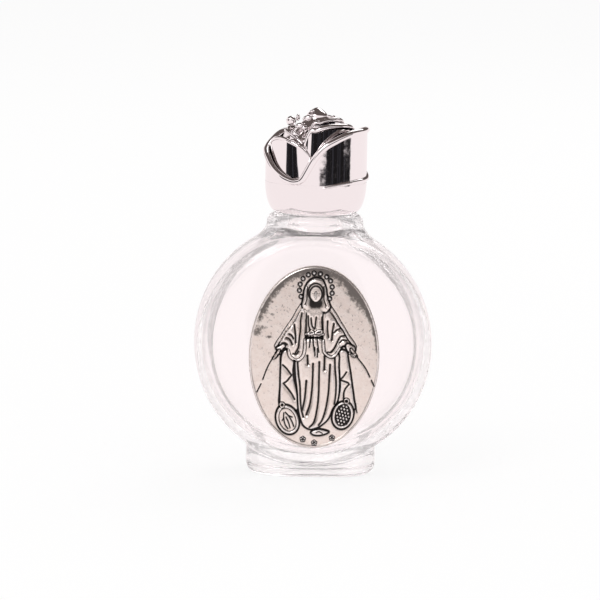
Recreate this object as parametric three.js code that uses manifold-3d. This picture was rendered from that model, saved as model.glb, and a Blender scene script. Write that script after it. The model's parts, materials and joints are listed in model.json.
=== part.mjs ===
// A pocket holy water bottle, in millimetres, +Z up, the front towards -Y.
// A flat round glass flask stands on an oval foot. An oval cast medal is glued to its front face.
// The neck holds a drip plug, and a rose-shaped screw cap with a threaded liner and a sealing disc closes it.
// The origin is the centre of the foot's underside.

import * as THREE from "three";
import Module from "manifold-3d";
import { mergeVertices } from "three/addons/utils/BufferGeometryUtils.js";

// Glass flask
const bodyRadius = 21;
const bodyDepth = 20;
const bodyEdgeRadius = 2.6;
const bodyCrown = 0.4;
const footRise = 2.3;
const sideWall = 2.2;
const faceWall = 2.1;
const cavityEdgeRadius = 3.6;
const cavityCrown = 0.8;
const footWidth = 22.8;
const footDepth = 16;
const footEdgeRadius = 1.8;
const footSquareness = 2.5;
const footBlend = 1.5;
const collarRadius = 8.5;
const collarRise = 1.9;
const collarEdgeRadius = 1.4;
const collarBlend = 1.8;

// Neck finish and its thread
const finishHeight = 8.1;
const finishRadius = 5.2;
const boreRadius = 3.8;
const boreFlareRadius = 4.9;
const boreFlareHeight = 3.2;
const boreMouthRadius = 6.8;
const rimEdgeRadius = 0.35;
const threadPitch = 2.1;
const threadTurns = 1.5;
const threadDepth = 0.6;
const threadRootWidth = 0.85;
const threadCrestWidth = 0.4;
const threadStart = 2.3;

// Drip plug
const plugFlangeRadius = 4.8;
const plugFlangeThickness = 0.5;
const plugSkirtLength = 5;
const plugWall = 0.6;
const plugWebThickness = 0.9;
const orificeRadius = 0.75;

// Sealing disc and threaded liner
const discThickness = 0.9;
const linerWall = 0.55;
const linerRoof = 0.9;
const linerThreadTurns = 1.1;
const linerLead = 0.35;

// Rose cap
const bandRadius = 8.95;
const bandHeight = 5.4;
const skirtEdgeWidth = 0.4;
const bloomHeight = 13.1;
const petalThickness = 0.8;
const petalRound = 0.25;

// Medal and its glue
const medalWidth = 22.8;
const medalHeight = 32;
const medalDrop = 1.2;
const medalEdgeThickness = 1.1;
const medalRimWidth = 0.65;
const medalRimHeight = 0.35;
const medalDome = 0.35;
const reliefHeight = 0.75;
const glueThickness = 0.2;
const glueInset = 1.2;

// Clearances
const turningClearance = 0.15;
const pressClearance = 0.05;
const seatGap = 0.1;
const capGap = 0.3;

// Facets
const sliverWidth = 0.01;
const flaskFacets = 64;
const cavityFacets = 36;
const roundFacets = 36;
const threadFacets = 20;
const medalFacets = 48;
const gluePadFacets = 40;
const petalStepAngle = 12;

// Heights that follow from these
const bodyCentreHeight = footRise + bodyRadius;
const collarTop = bodyCentreHeight + bodyRadius + collarRise;
const medalCentreHeight = bodyCentreHeight - medalDrop;

const degrees = Math.PI / 180;
const wasm = await Module();
wasm.setup();

// Closed surface through equal loops of points. Each loop runs anticlockwise about the direction of travel,
// and a fan to a point closes each end.
function loft(loops, startPoint, endPoint) {
  const count = loops[0].length;
  const points = loops.flat();
  const start = points.push(startPoint) - 1;
  const end = points.push(endPoint) - 1;
  const last = (loops.length - 1) * count;
  const faces = [];
  for (let j = 0; j < count; j++) {
    const next = (j + 1) % count;
    faces.push(start, next, j);
    faces.push(end, last + j, last + next);
    for (let i = 0; i < last; i += count) {
      faces.push(i + j, i + next, i + count + next);
      faces.push(i + j, i + count + next, i + count + j);
    }
  }
  return new THREE.BufferGeometry().setFromPoints(points).setIndex(faces);
}

const centreOf = (loop) =>
  loop.reduce((sum, p) => sum.add(p), new THREE.Vector3()).divideScalar(loop.length);

// Loft whose two ends close on the middle of its first and last loop.
const cappedLoft = (loops) => loft(loops, centreOf(loops[0]), centreOf(loops[loops.length - 1]));

// Solid of a geometry, for joining and cutting
function solid(geometry) {
  const bare = geometry.clone();
  bare.deleteAttribute("normal");
  bare.deleteAttribute("uv");
  const merged = mergeVertices(bare, 1e-4);
  return new wasm.Manifold(
    new wasm.Mesh({
      numProp: 3,
      vertProperties: new Float32Array(merged.attributes.position.array),
      triVerts: new Uint32Array(merged.index.array),
    }),
  );
}

// Geometry of a solid, with the slivers that cuts leave between almost equal points closed up
function geometryOf(manifold) {
  const mesh = manifold.getMesh();
  const geometry = new THREE.BufferGeometry();
  geometry.setAttribute("position", new THREE.BufferAttribute(mesh.vertProperties, mesh.numProp));
  geometry.setIndex(new THREE.BufferAttribute(mesh.triVerts, 1));
  const welded = mergeVertices(geometry, sliverWidth);
  const corners = Array.from(welded.index.array);
  const whole = corners.filter((_, i) => {
    const [a, b, c] = corners.slice(i - (i % 3), i - (i % 3) + 3);
    return a !== b && b !== c && c !== a;
  });
  return welded.setIndex(whole);
}

const joined = (solids) => solids.reduce((whole, next) => whole.add(next));

// Solid turned about the bottle's upright axis from [radius, height] points that close on themselves
// or start and end on the axis. The points run up the outside.
function turned(profile, facets = roundFacets) {
  const points = profile.map(([radius, height]) => new THREE.Vector2(radius, height));
  if (profile[0][0] > 0) points.push(points[0].clone());
  return new THREE.LatheGeometry(points, facets).rotateX(Math.PI / 2);
}

// Point at an angle from the front, positive towards +X
const around = (angle, radius, height) =>
  new THREE.Vector3(radius * Math.sin(angle), -radius * Math.cos(angle), height);

const shares = (count) => Array.from({ length: count }, (_, i) => (i + 1) / count);

// Radius of a crowned disc that stands on edge, at a distance from its middle plane
function discRadiusAt(distance, radius, depth, edgeRadius, crown) {
  const straight = depth / 2 - edgeRadius;
  const past = Math.abs(distance) - straight;
  if (past < 0) return radius - crown * (distance / straight) ** 2;
  return radius - crown - edgeRadius + Math.sqrt(Math.max(edgeRadius ** 2 - past ** 2, 0));
}

// Crowned disc turned about its own level axis, standing on edge at the body's centre
function disc(radius, depth, edgeRadius, crown, facets) {
  const half = depth / 2;
  const edgeSteps = 3;
  const edge = [0, ...shares(edgeSteps)].map((share) => {
    const tilt = (share * Math.PI) / 2;
    return half - edgeRadius * (1 - Math.cos(tilt));
  });
  const distances = [...edge, (half - edgeRadius) / 2, 0];
  const backHalf = distances.map((d) => [discRadiusAt(d, radius, depth, edgeRadius, crown), -d]);
  const frontHalf = backHalf.slice(0, -1).map(([r, d]) => [r, -d]);
  const profile = [[0, -half], ...backHalf, ...frontHalf.reverse(), [0, half]];
  const points = profile.map(([r, d]) => new THREE.Vector2(r, d));
  return new THREE.LatheGeometry(points, facets).translate(0, 0, bodyCentreHeight);
}

const outerDisc = [bodyRadius, bodyDepth, bodyEdgeRadius, bodyCrown];
const cavityDisc = [bodyRadius - sideWall, bodyDepth - 2 * faceWall, cavityEdgeRadius, cavityCrown];

// Height of the flask's skin above (side 1) or below (side -1) its centre, at an angle and reach from the
// upright axis
function skinHeight(angle, reach, side) {
  const radius = discRadiusAt(reach * Math.cos(angle), ...outerDisc);
  return bodyCentreHeight + side * Math.sqrt(radius ** 2 - (reach * Math.sin(angle)) ** 2);
}

// Hollow fillet, as [reach, height] points, from an upright wall at the given reach out onto the skin.
// Its first point is on the wall and its last is just under the skin.
function skinFillet(angle, reach, blend, side) {
  const overlap = 0.06;
  const widestBlendShare = 0.7;
  const widest = (bodyDepth / 2 - overlap) / Math.abs(Math.cos(angle)) - reach;
  const size = Math.min(blend, widest * widestBlendShare);
  const corner = skinHeight(angle, reach, side);
  const wall = new THREE.Vector2(reach, corner + side * size);
  const landing = new THREE.Vector2(reach + size, skinHeight(angle, reach + size, side) - side * overlap);
  const curve = new THREE.QuadraticBezierCurve(wall, new THREE.Vector2(reach, corner), landing);
  return curve.getPoints(4).map((p) => [p.x, p.y]);
}

function footReach(angle) {
  const across = Math.abs((2 * Math.sin(angle)) / footWidth) ** footSquareness;
  const deep = Math.abs((2 * Math.cos(angle)) / footDepth) ** footSquareness;
  return (across + deep) ** (-1 / footSquareness);
}

// Loft through one [reach, height] profile for each angle
function revolvedLoft(angles, profileAt) {
  const profiles = angles.map(profileAt);
  return cappedLoft(
    profiles[0].map((_, i) => angles.map((angle, j) => around(angle, ...profiles[j][i]))),
  );
}

function glassFoot() {
  const sideStretch = 1.5;
  const angles = Array.from({ length: roundFacets }, (_, j) => {
    const turn = (2 * Math.PI * j) / roundFacets;
    return Math.atan2(sideStretch * Math.sin(turn), Math.cos(turn));
  });
  const insideDisc = 1;
  const roomShare = 0.8;
  return revolvedLoft(angles, (angle) => {
    const reach = footReach(angle);
    const room = skinHeight(angle, reach, -1) - footEdgeRadius;
    const fillet = skinFillet(angle, reach, Math.min(footBlend, room * roomShare), -1);
    const rounding = [0, ...shares(4)].map((s) => {
      const tilt = (s * Math.PI) / 2;
      return [reach - footEdgeRadius * (1 - Math.sin(tilt)), footEdgeRadius * (1 - Math.cos(tilt))];
    });
    const top = skinHeight(0, 0, -1) + bodyEdgeRadius + insideDisc;
    return [...rounding, ...fillet, [reach - insideDisc, Math.max(fillet[4][1] + insideDisc, top)]];
  });
}

const finishTop = collarTop + finishHeight;

function glassNeck() {
  const angles = Array.from({ length: roundFacets }, (_, j) => (2 * Math.PI * j) / roundFacets);
  const insideDisc = 1.5;
  const collarRound = [0, ...shares(3)].map((s) => {
    const tilt = (s * Math.PI) / 2;
    return [
      collarRadius - collarEdgeRadius * (1 - Math.cos(tilt)),
      collarTop - collarEdgeRadius * (1 - Math.sin(tilt)),
    ];
  });
  return revolvedLoft(angles, (angle) => {
    const fillet = skinFillet(angle, collarRadius, collarBlend, 1).reverse();
    return [
      [collarRadius, fillet[0][1] - insideDisc],
      ...fillet,
      ...collarRound.slice(1),
      [finishRadius, collarTop],
      [finishRadius, finishTop - rimEdgeRadius],
      [finishRadius - rimEdgeRadius, finishTop],
    ];
  });
}

// Space inside the neck, from above the rim down into the cavity
function neckBore() {
  const flareTop = collarTop + boreFlareHeight / 2;
  const flareBottom = flareTop - boreFlareHeight;
  const cavityTop = bodyCentreHeight + cavityDisc[0];
  const past = 0.5;
  return turned([
    [0, cavityTop - boreFlareHeight],
    [boreMouthRadius, cavityTop - boreFlareHeight / 2],
    [(boreMouthRadius + boreFlareRadius) / 2, cavityTop - boreFlareHeight / 6],
    [boreFlareRadius, (cavityTop + flareBottom) / 2],
    [boreFlareRadius, flareBottom],
    [(boreFlareRadius + boreRadius) / 2, collarTop],
    [boreRadius, flareTop],
    [boreRadius, finishTop - rimEdgeRadius],
    [boreRadius + rimEdgeRadius, finishTop],
    [boreRadius + rimEdgeRadius, finishTop + past],
    [0, finishTop + past],
  ]);
}

function glassBottle() {
  const outside = joined([disc(...outerDisc, flaskFacets), glassFoot(), glassNeck()].map(solid));
  const inside = joined([disc(...cavityDisc, cavityFacets), neckBore()].map(solid));
  const ridge = threadRidge(finishRadius, 1, collarTop + threadStart, 0, threadTurns);
  return geometryOf(outside.subtract(inside).add(solid(ridge)));
}

// Right-hand thread ridge on a wall of the given radius. Side 1 stands outwards and -1 inwards.
function threadRidge(radius, side, startHeight, startTurn, turns) {
  const steps = Math.round(turns * threadFacets);
  const rooted = threadDepth / 4;
  const fadeSteps = 3;
  const firstRise = 0.4;
  const loops = Array.from({ length: steps + 1 }, (_, i) => {
    const turn = startTurn + i / threadFacets;
    const fade = Math.min(1, (i + firstRise) / fadeSteps, (steps - i + firstRise) / fadeSteps);
    const root = radius - side * rooted;
    const crest = radius + side * threadDepth * fade;
    const middle = startHeight + threadPitch * (turn - startTurn);
    const halfRoot = threadRootWidth / 2;
    const halfCrest = threadCrestWidth / 2;
    const loop = [
      [root, halfRoot],
      [crest, halfCrest],
      [crest, -halfCrest],
      [root, -halfRoot],
    ].map(([r, rise]) => around(turn * 2 * Math.PI, r, middle + rise));
    return side > 0 ? loop : loop.reverse();
  });
  return cappedLoft(loops);
}

// Drip plug: a flange on the rim, a skirt pressed into the bore and a small hole through its web
const plugSeat = finishTop + seatGap;
const plugTop = plugSeat + plugFlangeThickness;

function dripPlug() {
  const skirt = boreRadius - pressClearance;
  const webBottom = plugTop - plugWebThickness;
  const skirtBottom = plugSeat - plugSkirtLength;
  const leadIn = plugWall / 2;
  return turned([
    [orificeRadius, webBottom],
    [skirt - plugWall, webBottom],
    [skirt - plugWall, skirtBottom],
    [skirt - leadIn, skirtBottom],
    [skirt, skirtBottom + 2 * leadIn],
    [skirt, plugSeat],
    [plugFlangeRadius, plugSeat],
    [plugFlangeRadius, plugTop],
    [orificeRadius, plugTop],
  ]);
}

// Sealing disc, held under the liner's roof
const linerInnerRadius = finishRadius + threadDepth + turningClearance;
const linerOuterRadius = linerInnerRadius + linerWall;
const discBottom = plugTop + seatGap;
const discTop = discBottom + discThickness;
const roofBottom = discTop + seatGap;
const roofTop = roofBottom + linerRoof;
const skirtBottom = collarTop + capGap;
const linerBottom = skirtBottom + linerLead;

const sealingDisc = () =>
  turned([
    [0, discBottom],
    [linerInnerRadius - pressClearance, discBottom],
    [linerInnerRadius - pressClearance, discTop],
    [0, discTop],
  ]);

// Threaded liner: its ridge lies half a pitch under the neck's ridge at every angle
function threadedLiner() {
  const leadIn = linerWall / 2;
  const cup = turned([
    [linerInnerRadius + leadIn, linerBottom],
    [linerOuterRadius, linerBottom],
    [linerOuterRadius, roofTop - leadIn],
    [linerOuterRadius - leadIn, roofTop],
    [0, roofTop],
    [0, roofBottom],
    [linerInnerRadius, roofBottom],
    [linerInnerRadius, linerBottom + 2 * leadIn],
  ]);
  const ridgeStart = collarTop + threadStart - threadPitch / 2;
  const lead = Math.max(0, linerBottom + threadRootWidth - ridgeStart) / threadPitch;
  const ridge = threadRidge(
    linerInnerRadius,
    -1,
    ridgeStart + lead * threadPitch,
    lead,
    linerThreadTurns,
  );
  return geometryOf(solid(cup).add(solid(ridge)));
}

// Rose cap. A petal's radii are shares of the band's radius, at the two ends of its root and of its rim.
// Its swell bows the wall outwards, and its lip turns the rim outwards. A rim is [angle, height] points, with
// heights as shares of the bloom's height above the band. A petal with a foot starts at that height, and the
// others start inside the core.
const bandTop = skirtBottom + bandHeight;
const petals = [
  {
    root: [0.96, 1],
    edge: [0.95, 0.985],
    swell: 0,
    lip: 0.02,
    foot: -0.05,
    rim: [
      [-215, 0.12], [-203, 0.4], [-188, 0.6], [-170, 0.68], [-150, 0.68], [-135, 0.645], [-120, 0.56],
      [-105, 0.49], [-90, 0.445], [-77, 0.38], [-66, 0.29], [-52, 0.19], [-38, 0.115], [-24, 0.09],
      [-17, 0.13], [-12, 0.23], [-6, 0.36], [5, 0.53], [21, 0.65], [40, 0.73], [65, 0.755], [96, 0.74],
      [120, 0.68], [140, 0.55], [155, 0.36], [165, 0.15],
    ],
  },
  {
    root: [0.97, 0.99],
    edge: [1, 1.045],
    swell: 0,
    lip: 0.03,
    foot: -0.09,
    rim: [
      [4, -0.03], [28, 0.045], [50, 0.075], [72, 0.085], [90, 0.1], [115, 0.19], [142, 0.35], [165, 0.46],
      [185, 0.49], [205, 0.42], [222, 0.26], [236, 0.05],
    ],
  },
  {
    root: [0.88, 0.88],
    edge: [0.7, 0.72],
    swell: 0.08,
    lip: 0,
    rim: [
      [-125, 0.33], [-108, 0.5], [-84, 0.6], [-62, 0.63], [-50, 0.62], [-36, 0.57], [-21, 0.5], [-8, 0.41],
      [2, 0.3],
    ],
  },
  {
    root: [0.8, 0.76],
    edge: [0.73, 0.7],
    swell: 0.04,
    lip: 0.02,
    rim: [
      [-22, 0.5], [-17, 0.66], [0, 0.765], [12, 0.8], [33, 0.815], [53, 0.805], [70, 0.77], [88, 0.66],
      [98, 0.48],
    ],
  },
  {
    root: [0.6, 0.58],
    edge: [0.55, 0.52],
    swell: 0.04,
    lip: 0.02,
    rim: [
      [-20, 0.62], [-13, 0.77], [8, 0.85], [25, 0.88], [47, 0.885], [66, 0.85], [84, 0.74], [94, 0.6],
    ],
  },
  {
    root: [0.72, 0.7],
    edge: [0.6, 0.62],
    swell: 0.03,
    lip: 0.02,
    rim: [
      [-178, 0.5], [-165, 0.62], [-140, 0.7], [-115, 0.72], [-90, 0.7], [-65, 0.68], [-50, 0.66],
      [-42, 0.6], [-36, 0.5],
    ],
  },
  {
    root: [0.56, 0.54],
    edge: [0.48, 0.49],
    swell: 0.02,
    lip: 0.02,
    rim: [
      [-112, 0.6], [-104, 0.78], [-92, 0.855], [-80, 0.84], [-66, 0.8], [-50, 0.78], [-41, 0.72],
      [-34, 0.6],
    ],
  },
  {
    root: [0.4, 0.38],
    edge: [0.36, 0.35],
    swell: 0.02,
    lip: 0.02,
    rim: [[-112, 0.66], [-100, 0.83], [-86, 0.87], [-60, 0.88], [-40, 0.88], [-29, 0.83], [-20, 0.7]],
  },
  {
    root: [0.68, 0.66],
    edge: [0.6, 0.56],
    swell: 0.03,
    lip: 0.02,
    rim: [[92, 0.52], [104, 0.7], [130, 0.78], [165, 0.79], [200, 0.76], [228, 0.68], [242, 0.5]],
  },
  {
    root: [0.42, 0.42],
    edge: [0.38, 0.36],
    swell: 0.02,
    lip: 0.02,
    rim: [[84, 0.66], [97, 0.82], [130, 0.87], [170, 0.87], [205, 0.84], [228, 0.7]],
  },
];
// The closed core that the petals grow from, up to the bud at the top, as [radius, height] shares
const coreOutline = [
  [0.985, -0.01],
  [0.94, 0.03],
  [0.9, 0.1],
  [0.895, 0.22],
  [0.85, 0.34],
  [0.8, 0.46],
  [0.74, 0.56],
  [0.6, 0.62],
  [0.5, 0.68],
  [0.36, 0.77],
  [0.24, 0.83],
  [0.195, 0.885],
  [0.18, 0.94],
  [0.11, 0.985],
  [0, 1],
];

// Smooth height of a rim at an angle, through its points
function rimAt(rim, angle) {
  const curve = new THREE.SplineCurve(rim.map(([a, h]) => new THREE.Vector2(a, h)));
  let low = 0;
  let high = 1;
  for (let i = 0; i < 30; i++) {
    const middle = (low + high) / 2;
    if (curve.getPoint(middle).x < angle) low = middle;
    else high = middle;
  }
  return curve.getPoint(low).y;
}

function petalSolid({ root, edge, swell, lip, rim, foot }) {
  const first = rim[0][0];
  const last = rim[rim.length - 1][0];
  const steps = Math.max(8, Math.round((last - first) / petalStepAngle));
  const highest = Math.max(...rim.map(([, height]) => height));
  const insideCore = 0.12;
  const reach = 0.35 * highest - insideCore;
  const outerRises = [1, 0.9, 0.7, 0.4, 0];
  const innerRises = [0, 0.55, 1];
  const endThickness = 0.45;
  const endSlope = 4;
  const loops = Array.from({ length: steps + 1 }, (_, i) => {
    const share = i / steps;
    const angle = THREE.MathUtils.lerp(first, last, share);
    const height = rimAt(rim, angle);
    const base = foot ?? Math.min(height - insideCore, reach);
    const rootRadius = THREE.MathUtils.lerp(...root, share);
    const rimRadius = THREE.MathUtils.lerp(...edge, share);
    const thick = petalThickness * Math.min(1, endThickness + endSlope * Math.min(share, 1 - share));
    const point = (rise, depth) => {
      const bow = swell * Math.sin(Math.PI * rise) + lip * rise ** 6;
      const radius = (THREE.MathUtils.lerp(rootRadius, rimRadius, rise ** 1.5) + bow) * bandRadius;
      const level = bandTop + THREE.MathUtils.lerp(base, height, rise) * bloomHeight;
      return [radius - depth, level];
    };
    const ridge = point(1, thick / 2);
    const outside = outerRises.map((rise) => point(rise, 0));
    const inside = innerRises.map((rise) => point(rise, thick));
    outside[0][1] -= petalRound;
    inside[inside.length - 1][1] -= petalRound;
    return [ridge, ...outside, ...inside].map(([r, h]) => around(angle * degrees, r, h));
  });
  return solid(cappedLoft(loops));
}

function roseCap() {
  const bore = linerOuterRadius + pressClearance;
  const boreTop = roofTop + seatGap;
  const edge = bore + skirtEdgeWidth;
  const skirt = [0, ...shares(6)].map((share) => {
    const tilt = (share * Math.PI) / 2;
    return [edge + (bandRadius - edge) * Math.sin(tilt), skirtBottom + bandHeight * (1 - Math.cos(tilt))];
  });
  skirt.pop();
  const core = coreOutline.map(([share, height]) => [share * bandRadius, bandTop + height * bloomHeight]);
  const body = solid(turned([[0, skirtBottom], ...skirt, ...core]));
  const flower = joined([body, ...petals.map(petalSolid)]);
  const hollow = turned([
    [0, skirtBottom - seatGap],
    [bore, skirtBottom - seatGap],
    [bore, boreTop],
    [0, boreTop],
  ]);
  return geometryOf(flower.subtract(solid(hollow)));
}

// Medal, in its own frame: +Z out of its face, +Y up. Relief sizes are in millimetres of a medal of this
// height and follow it, and u runs to the right and w up from its centre.
const drawnHeight = 32.5;
const drawn = medalHeight / drawnHeight;
const drawnWidth = 23.2;
const drawnAcross = medalWidth / drawnWidth;

function medalPlate() {
  const half = medalHeight / 2;
  const bevel = medalRimWidth / 3;
  const domeSteps = 4;
  const fieldEdge = half - medalRimWidth;
  const dome = Array.from({ length: domeSteps + 1 }, (_, i) => {
    const out = 1 - i / domeSteps;
    return [fieldEdge * out, medalEdgeThickness + medalDome * (1 - out ** 2)];
  });
  const profile = [
    [0, 0],
    [half - bevel, 0],
    [half, bevel],
    [half, medalEdgeThickness + medalRimHeight - bevel],
    [half - bevel, medalEdgeThickness + medalRimHeight],
    [fieldEdge + bevel, medalEdgeThickness + medalRimHeight],
    ...dome,
  ];
  return turned(profile, medalFacets).scale(medalWidth / medalHeight, 1, 1);
}

// Raised flat form with a rounded edge, from an outline of [u, w] points, joined by a smooth closed curve
function raised(outline, height, smooth = true, widestRound = 0.25) {
  const points = outline.map(([u, w]) => new THREE.Vector2(u * drawnAcross, w * drawn));
  const curve = new THREE.SplineCurve([...points, points[0]]);
  const shape = new THREE.Shape(smooth ? curve.getPoints(outline.length * 2).slice(0, -1) : points);
  const round = Math.min(widestRound * drawn, height / 2);
  const root = medalEdgeThickness / 2;
  const form = new THREE.ExtrudeGeometry(shape, {
    depth: medalEdgeThickness + medalDome + height - root - 2 * round,
    bevelThickness: round,
    bevelSize: round,
    bevelOffset: -round,
    bevelSegments: 1,
  });
  return solid(form.translate(0, 0, root + round));
}

// Small tapered bead that stands on the plate's back and comes out of its face
function dot(u, w, radius, height) {
  const tall = medalEdgeThickness + medalDome + height;
  const taper = 0.6;
  const bead = new THREE.CylinderGeometry(radius * drawn * taper, radius * drawn, tall, 8)
    .rotateX(Math.PI / 2)
    .translate(u * drawnAcross, w * drawn, tall / 2);
  return solid(bead);
}

// Slender tapered ridge between two [u, w] points, with a width at each
function strip([u0, w0], [u1, w1], startWidth, endWidth, height) {
  const length = Math.hypot(u1 - u0, w1 - w0);
  const [nu, nw] = [(-(w1 - w0) / length) * 0.5, ((u1 - u0) / length) * 0.5];
  const corners = [
    [u0 + nu * startWidth, w0 + nw * startWidth],
    [u0 - nu * startWidth, w0 - nw * startWidth],
    [u1 - nu * endWidth, w1 - nw * endWidth],
    [u1 + nu * endWidth, w1 + nw * endWidth],
  ];
  return raised(corners, height, false, Math.min(startWidth, endWidth) / 5);
}

function medalFigure() {
  const low = reliefHeight * 0.4;
  const middle = reliefHeight * 0.7;
  const mantle = [
    [-2, 8.9], [-3.6, 6.6], [-6.7, 2.2], [-6.1, 0.2], [-6, -8.4], [-3.2, -11.6], [-1.6, -12.9], [1.4, -13],
    [3.6, -11.2], [7.2, -10], [6.1, 0.2], [7.2, 2], [4.6, 5.8], [2.6, 8.6],
  ];
  const gown = [
    [-1.9, 8.4], [-1.7, 3.6], [-3, -1], [-2.6, -7.5], [-1.9, -12.4], [0.3, -13.1], [2.2, -12.2],
    [3.1, -7.5], [3.2, -1], [1.5, 3.6], [2, 8.2],
  ];
  const leftSleeve = [
    [-2.2, 8.2], [-4.2, 4.4], [-6.2, 1.6], [-4.6, -0.2], [-3.1, -1], [-1.8, 1], [-1.7, 5.4],
  ];
  const rightSleeve = [[2.3, 8.1], [4.7, 4.2], [6.8, 1.6], [5, 0], [3.1, -0.5], [1.8, 1.2], [1.7, 5.4]];
  const veil = [
    [-2, 8.6], [-1.9, 11.6], [-1.1, 13.1], [0.3, 13.6], [1.6, 13], [2.2, 11.4], [2.3, 8.4], [0.2, 7.6],
  ];
  const parts = [
    raised(mantle, low),
    raised(gown, middle),
    raised(leftSleeve, reliefHeight),
    raised(rightSleeve, reliefHeight),
    raised(veil, middle),
    strip([-1.6, 3.9], [1.4, 3.9], 0.7, 0.7, reliefHeight),
    strip([-0.2, 3.6], [0, -0.8], 0.5, 1.1, reliefHeight),
    strip([-7.1, 0.4], [-9.7, -6], 0.28, 0.22, low),
    strip([7.3, 0.4], [9.9, -5.6], 0.28, 0.22, low),
  ];
  const head = new THREE.SphereGeometry(1, 12, 8)
    .scale(1.1 * drawnAcross, 1.45 * drawn, reliefHeight * 0.8)
    .translate(0.2 * drawnAcross, 10.9 * drawn, medalEdgeThickness + medalDome + middle);
  parts.push(solid(head));
  for (const [u, w] of [[-6.3, 0.9], [6.6, 0.9]]) {
    const hand = new THREE.SphereGeometry(1, 8, 6)
      .scale(0.85 * drawnAcross, 0.95 * drawn, reliefHeight)
      .translate(u * drawnAcross, w * drawn, medalEdgeThickness + medalDome * 0.6);
    parts.push(solid(hand));
  }
  const tokenProfile = [[0, 0], [2.5, 0], [2.5, 0.8], [2.3, 1], [1.9, 1], [1.8, 0.8], [0, 0.8]];
  const tokenFacets = 18;
  for (const [u, w, tilt] of [[-4.5, -11.2, 28], [4.9, -10.7, -12]]) {
    const token = turned(tokenProfile, tokenFacets)
      .scale(0.76 * drawnAcross, drawn, medalEdgeThickness + low)
      .rotateZ(tilt * degrees)
      .translate(u * drawnAcross, w * drawn, medalDome * 0.7);
    parts.push(solid(token));
  }
  const beads = 12;
  for (let i = 0; i < beads; i++) {
    const turn = THREE.MathUtils.lerp(-122, 122, i / (beads - 1)) * degrees;
    parts.push(dot(0.3 + 2.85 * Math.sin(turn), 12 + 2.75 * Math.cos(turn), 0.34, low));
  }
  for (const [u, w] of [[-2.2, -14.4], [0.2, -15], [2.7, -14.3]]) parts.push(dot(u, w, 0.34, low));
  return joined(parts);
}

// Grooves between the folds of the gown and sleeves, cut as slender wedges into the figure
function foldGrooves() {
  const middle = medalEdgeThickness + medalDome + reliefHeight * 1.15;
  const groove = ([u0, w0], [u1, w1], width) => {
    const length = Math.hypot(u1 - u0, w1 - w0);
    const wedge = new THREE.CylinderGeometry(1, 1, 1, 4, 1)
      .scale((width / 2) * drawn, length * drawn, reliefHeight * 0.8)
      .rotateZ(Math.atan2(-(u1 - u0), w1 - w0))
      .translate(((u0 + u1) / 2) * drawnAcross, ((w0 + w1) / 2) * drawn, middle);
    return solid(wedge);
  };
  return joined([
    groove([-2.3, -2], [-1.8, -11.6], 0.5),
    groove([-0.5, -1.6], [-1, -12.2], 0.5),
    groove([0.8, -1.8], [0.4, -12.4], 0.5),
    groove([2.5, -2], [1.7, -11.8], 0.5),
    groove([-0.7, 7.4], [-0.1, 4.6], 0.35),
    groove([0.7, 7.4], [0.1, 4.6], 0.35),
    groove([-2.9, 5.6], [-3, 0.6], 0.45),
    groove([-3.9, 3.4], [-4.6, 1.2], 0.4),
    groove([3, 5.4], [3, 1], 0.45),
    groove([4.2, 3.4], [5, 1.2], 0.4),
  ]);
}

const castMedal = () => geometryOf(solid(medalPlate()).add(medalFigure().subtract(foldGrooves())));

function gluePad() {
  const halfHeight = medalHeight / 2 - glueInset;
  const halfWidth = medalWidth / 2 - glueInset;
  return new THREE.CylinderGeometry(halfHeight, halfHeight, glueThickness, gluePadFacets)
    .scale(halfWidth / halfHeight, 1, 1);
}

const finish = (color, roughness, metalness, extra = {}) =>
  new THREE.MeshStandardMaterial({ color, roughness, metalness, ...extra });
const clearGlass = finish(0xfdf0f1, 0.03, 0, { transparent: true, opacity: 0.35 });
const oldSilver = finish(0xcfc6bc, 0.35, 0.95);
const chromePlate = finish(0xf2eeee, 0.06, 1);
const softWhite = finish(0xf3f2ee, 0.45, 0);
const paleFoam = finish(0xe9e6df, 0.8, 0);
const clearGlue = finish(0xe6e2da, 0.3, 0);

const bottle = new THREE.Group();
function place(name, geometry, material, position = [0, 0, 0], tilt = 0) {
  const mesh = new THREE.Mesh(geometry, material);
  mesh.name = name;
  mesh.position.set(...position);
  mesh.rotation.x = tilt;
  bottle.add(mesh);
}

const frontFace = -bodyDepth / 2;
const glueMiddle = frontFace - seatGap / 2 - glueThickness / 2;
const medalBack = frontFace - seatGap - glueThickness;
place("glass_bottle", glassBottle(), clearGlass);
place("glue_pad", gluePad(), clearGlue, [0, glueMiddle, medalCentreHeight]);
place("front_medal", castMedal(), oldSilver, [0, medalBack, medalCentreHeight], Math.PI / 2);
place("drip_plug", dripPlug(), softWhite);
place("sealing_disc", sealingDisc(), paleFoam);
place("threaded_liner", threadedLiner(), softWhite);
place("rose_cap_shell", roseCap(), chromePlate);

export default bottle;
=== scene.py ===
# %% [markdown]
# This notebook gives a small holy water bottle its looks. The real one is a flat round flask of pressed
# glass on an oval foot. A cast medal with an old silver finish is glued to its front, and a chromed screw
# cap shaped like an opening rose closes its neck. The loaded frame has each piece at its real size and is
# never moved. The sizes below come from that frame, or are named values in metres.

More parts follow.
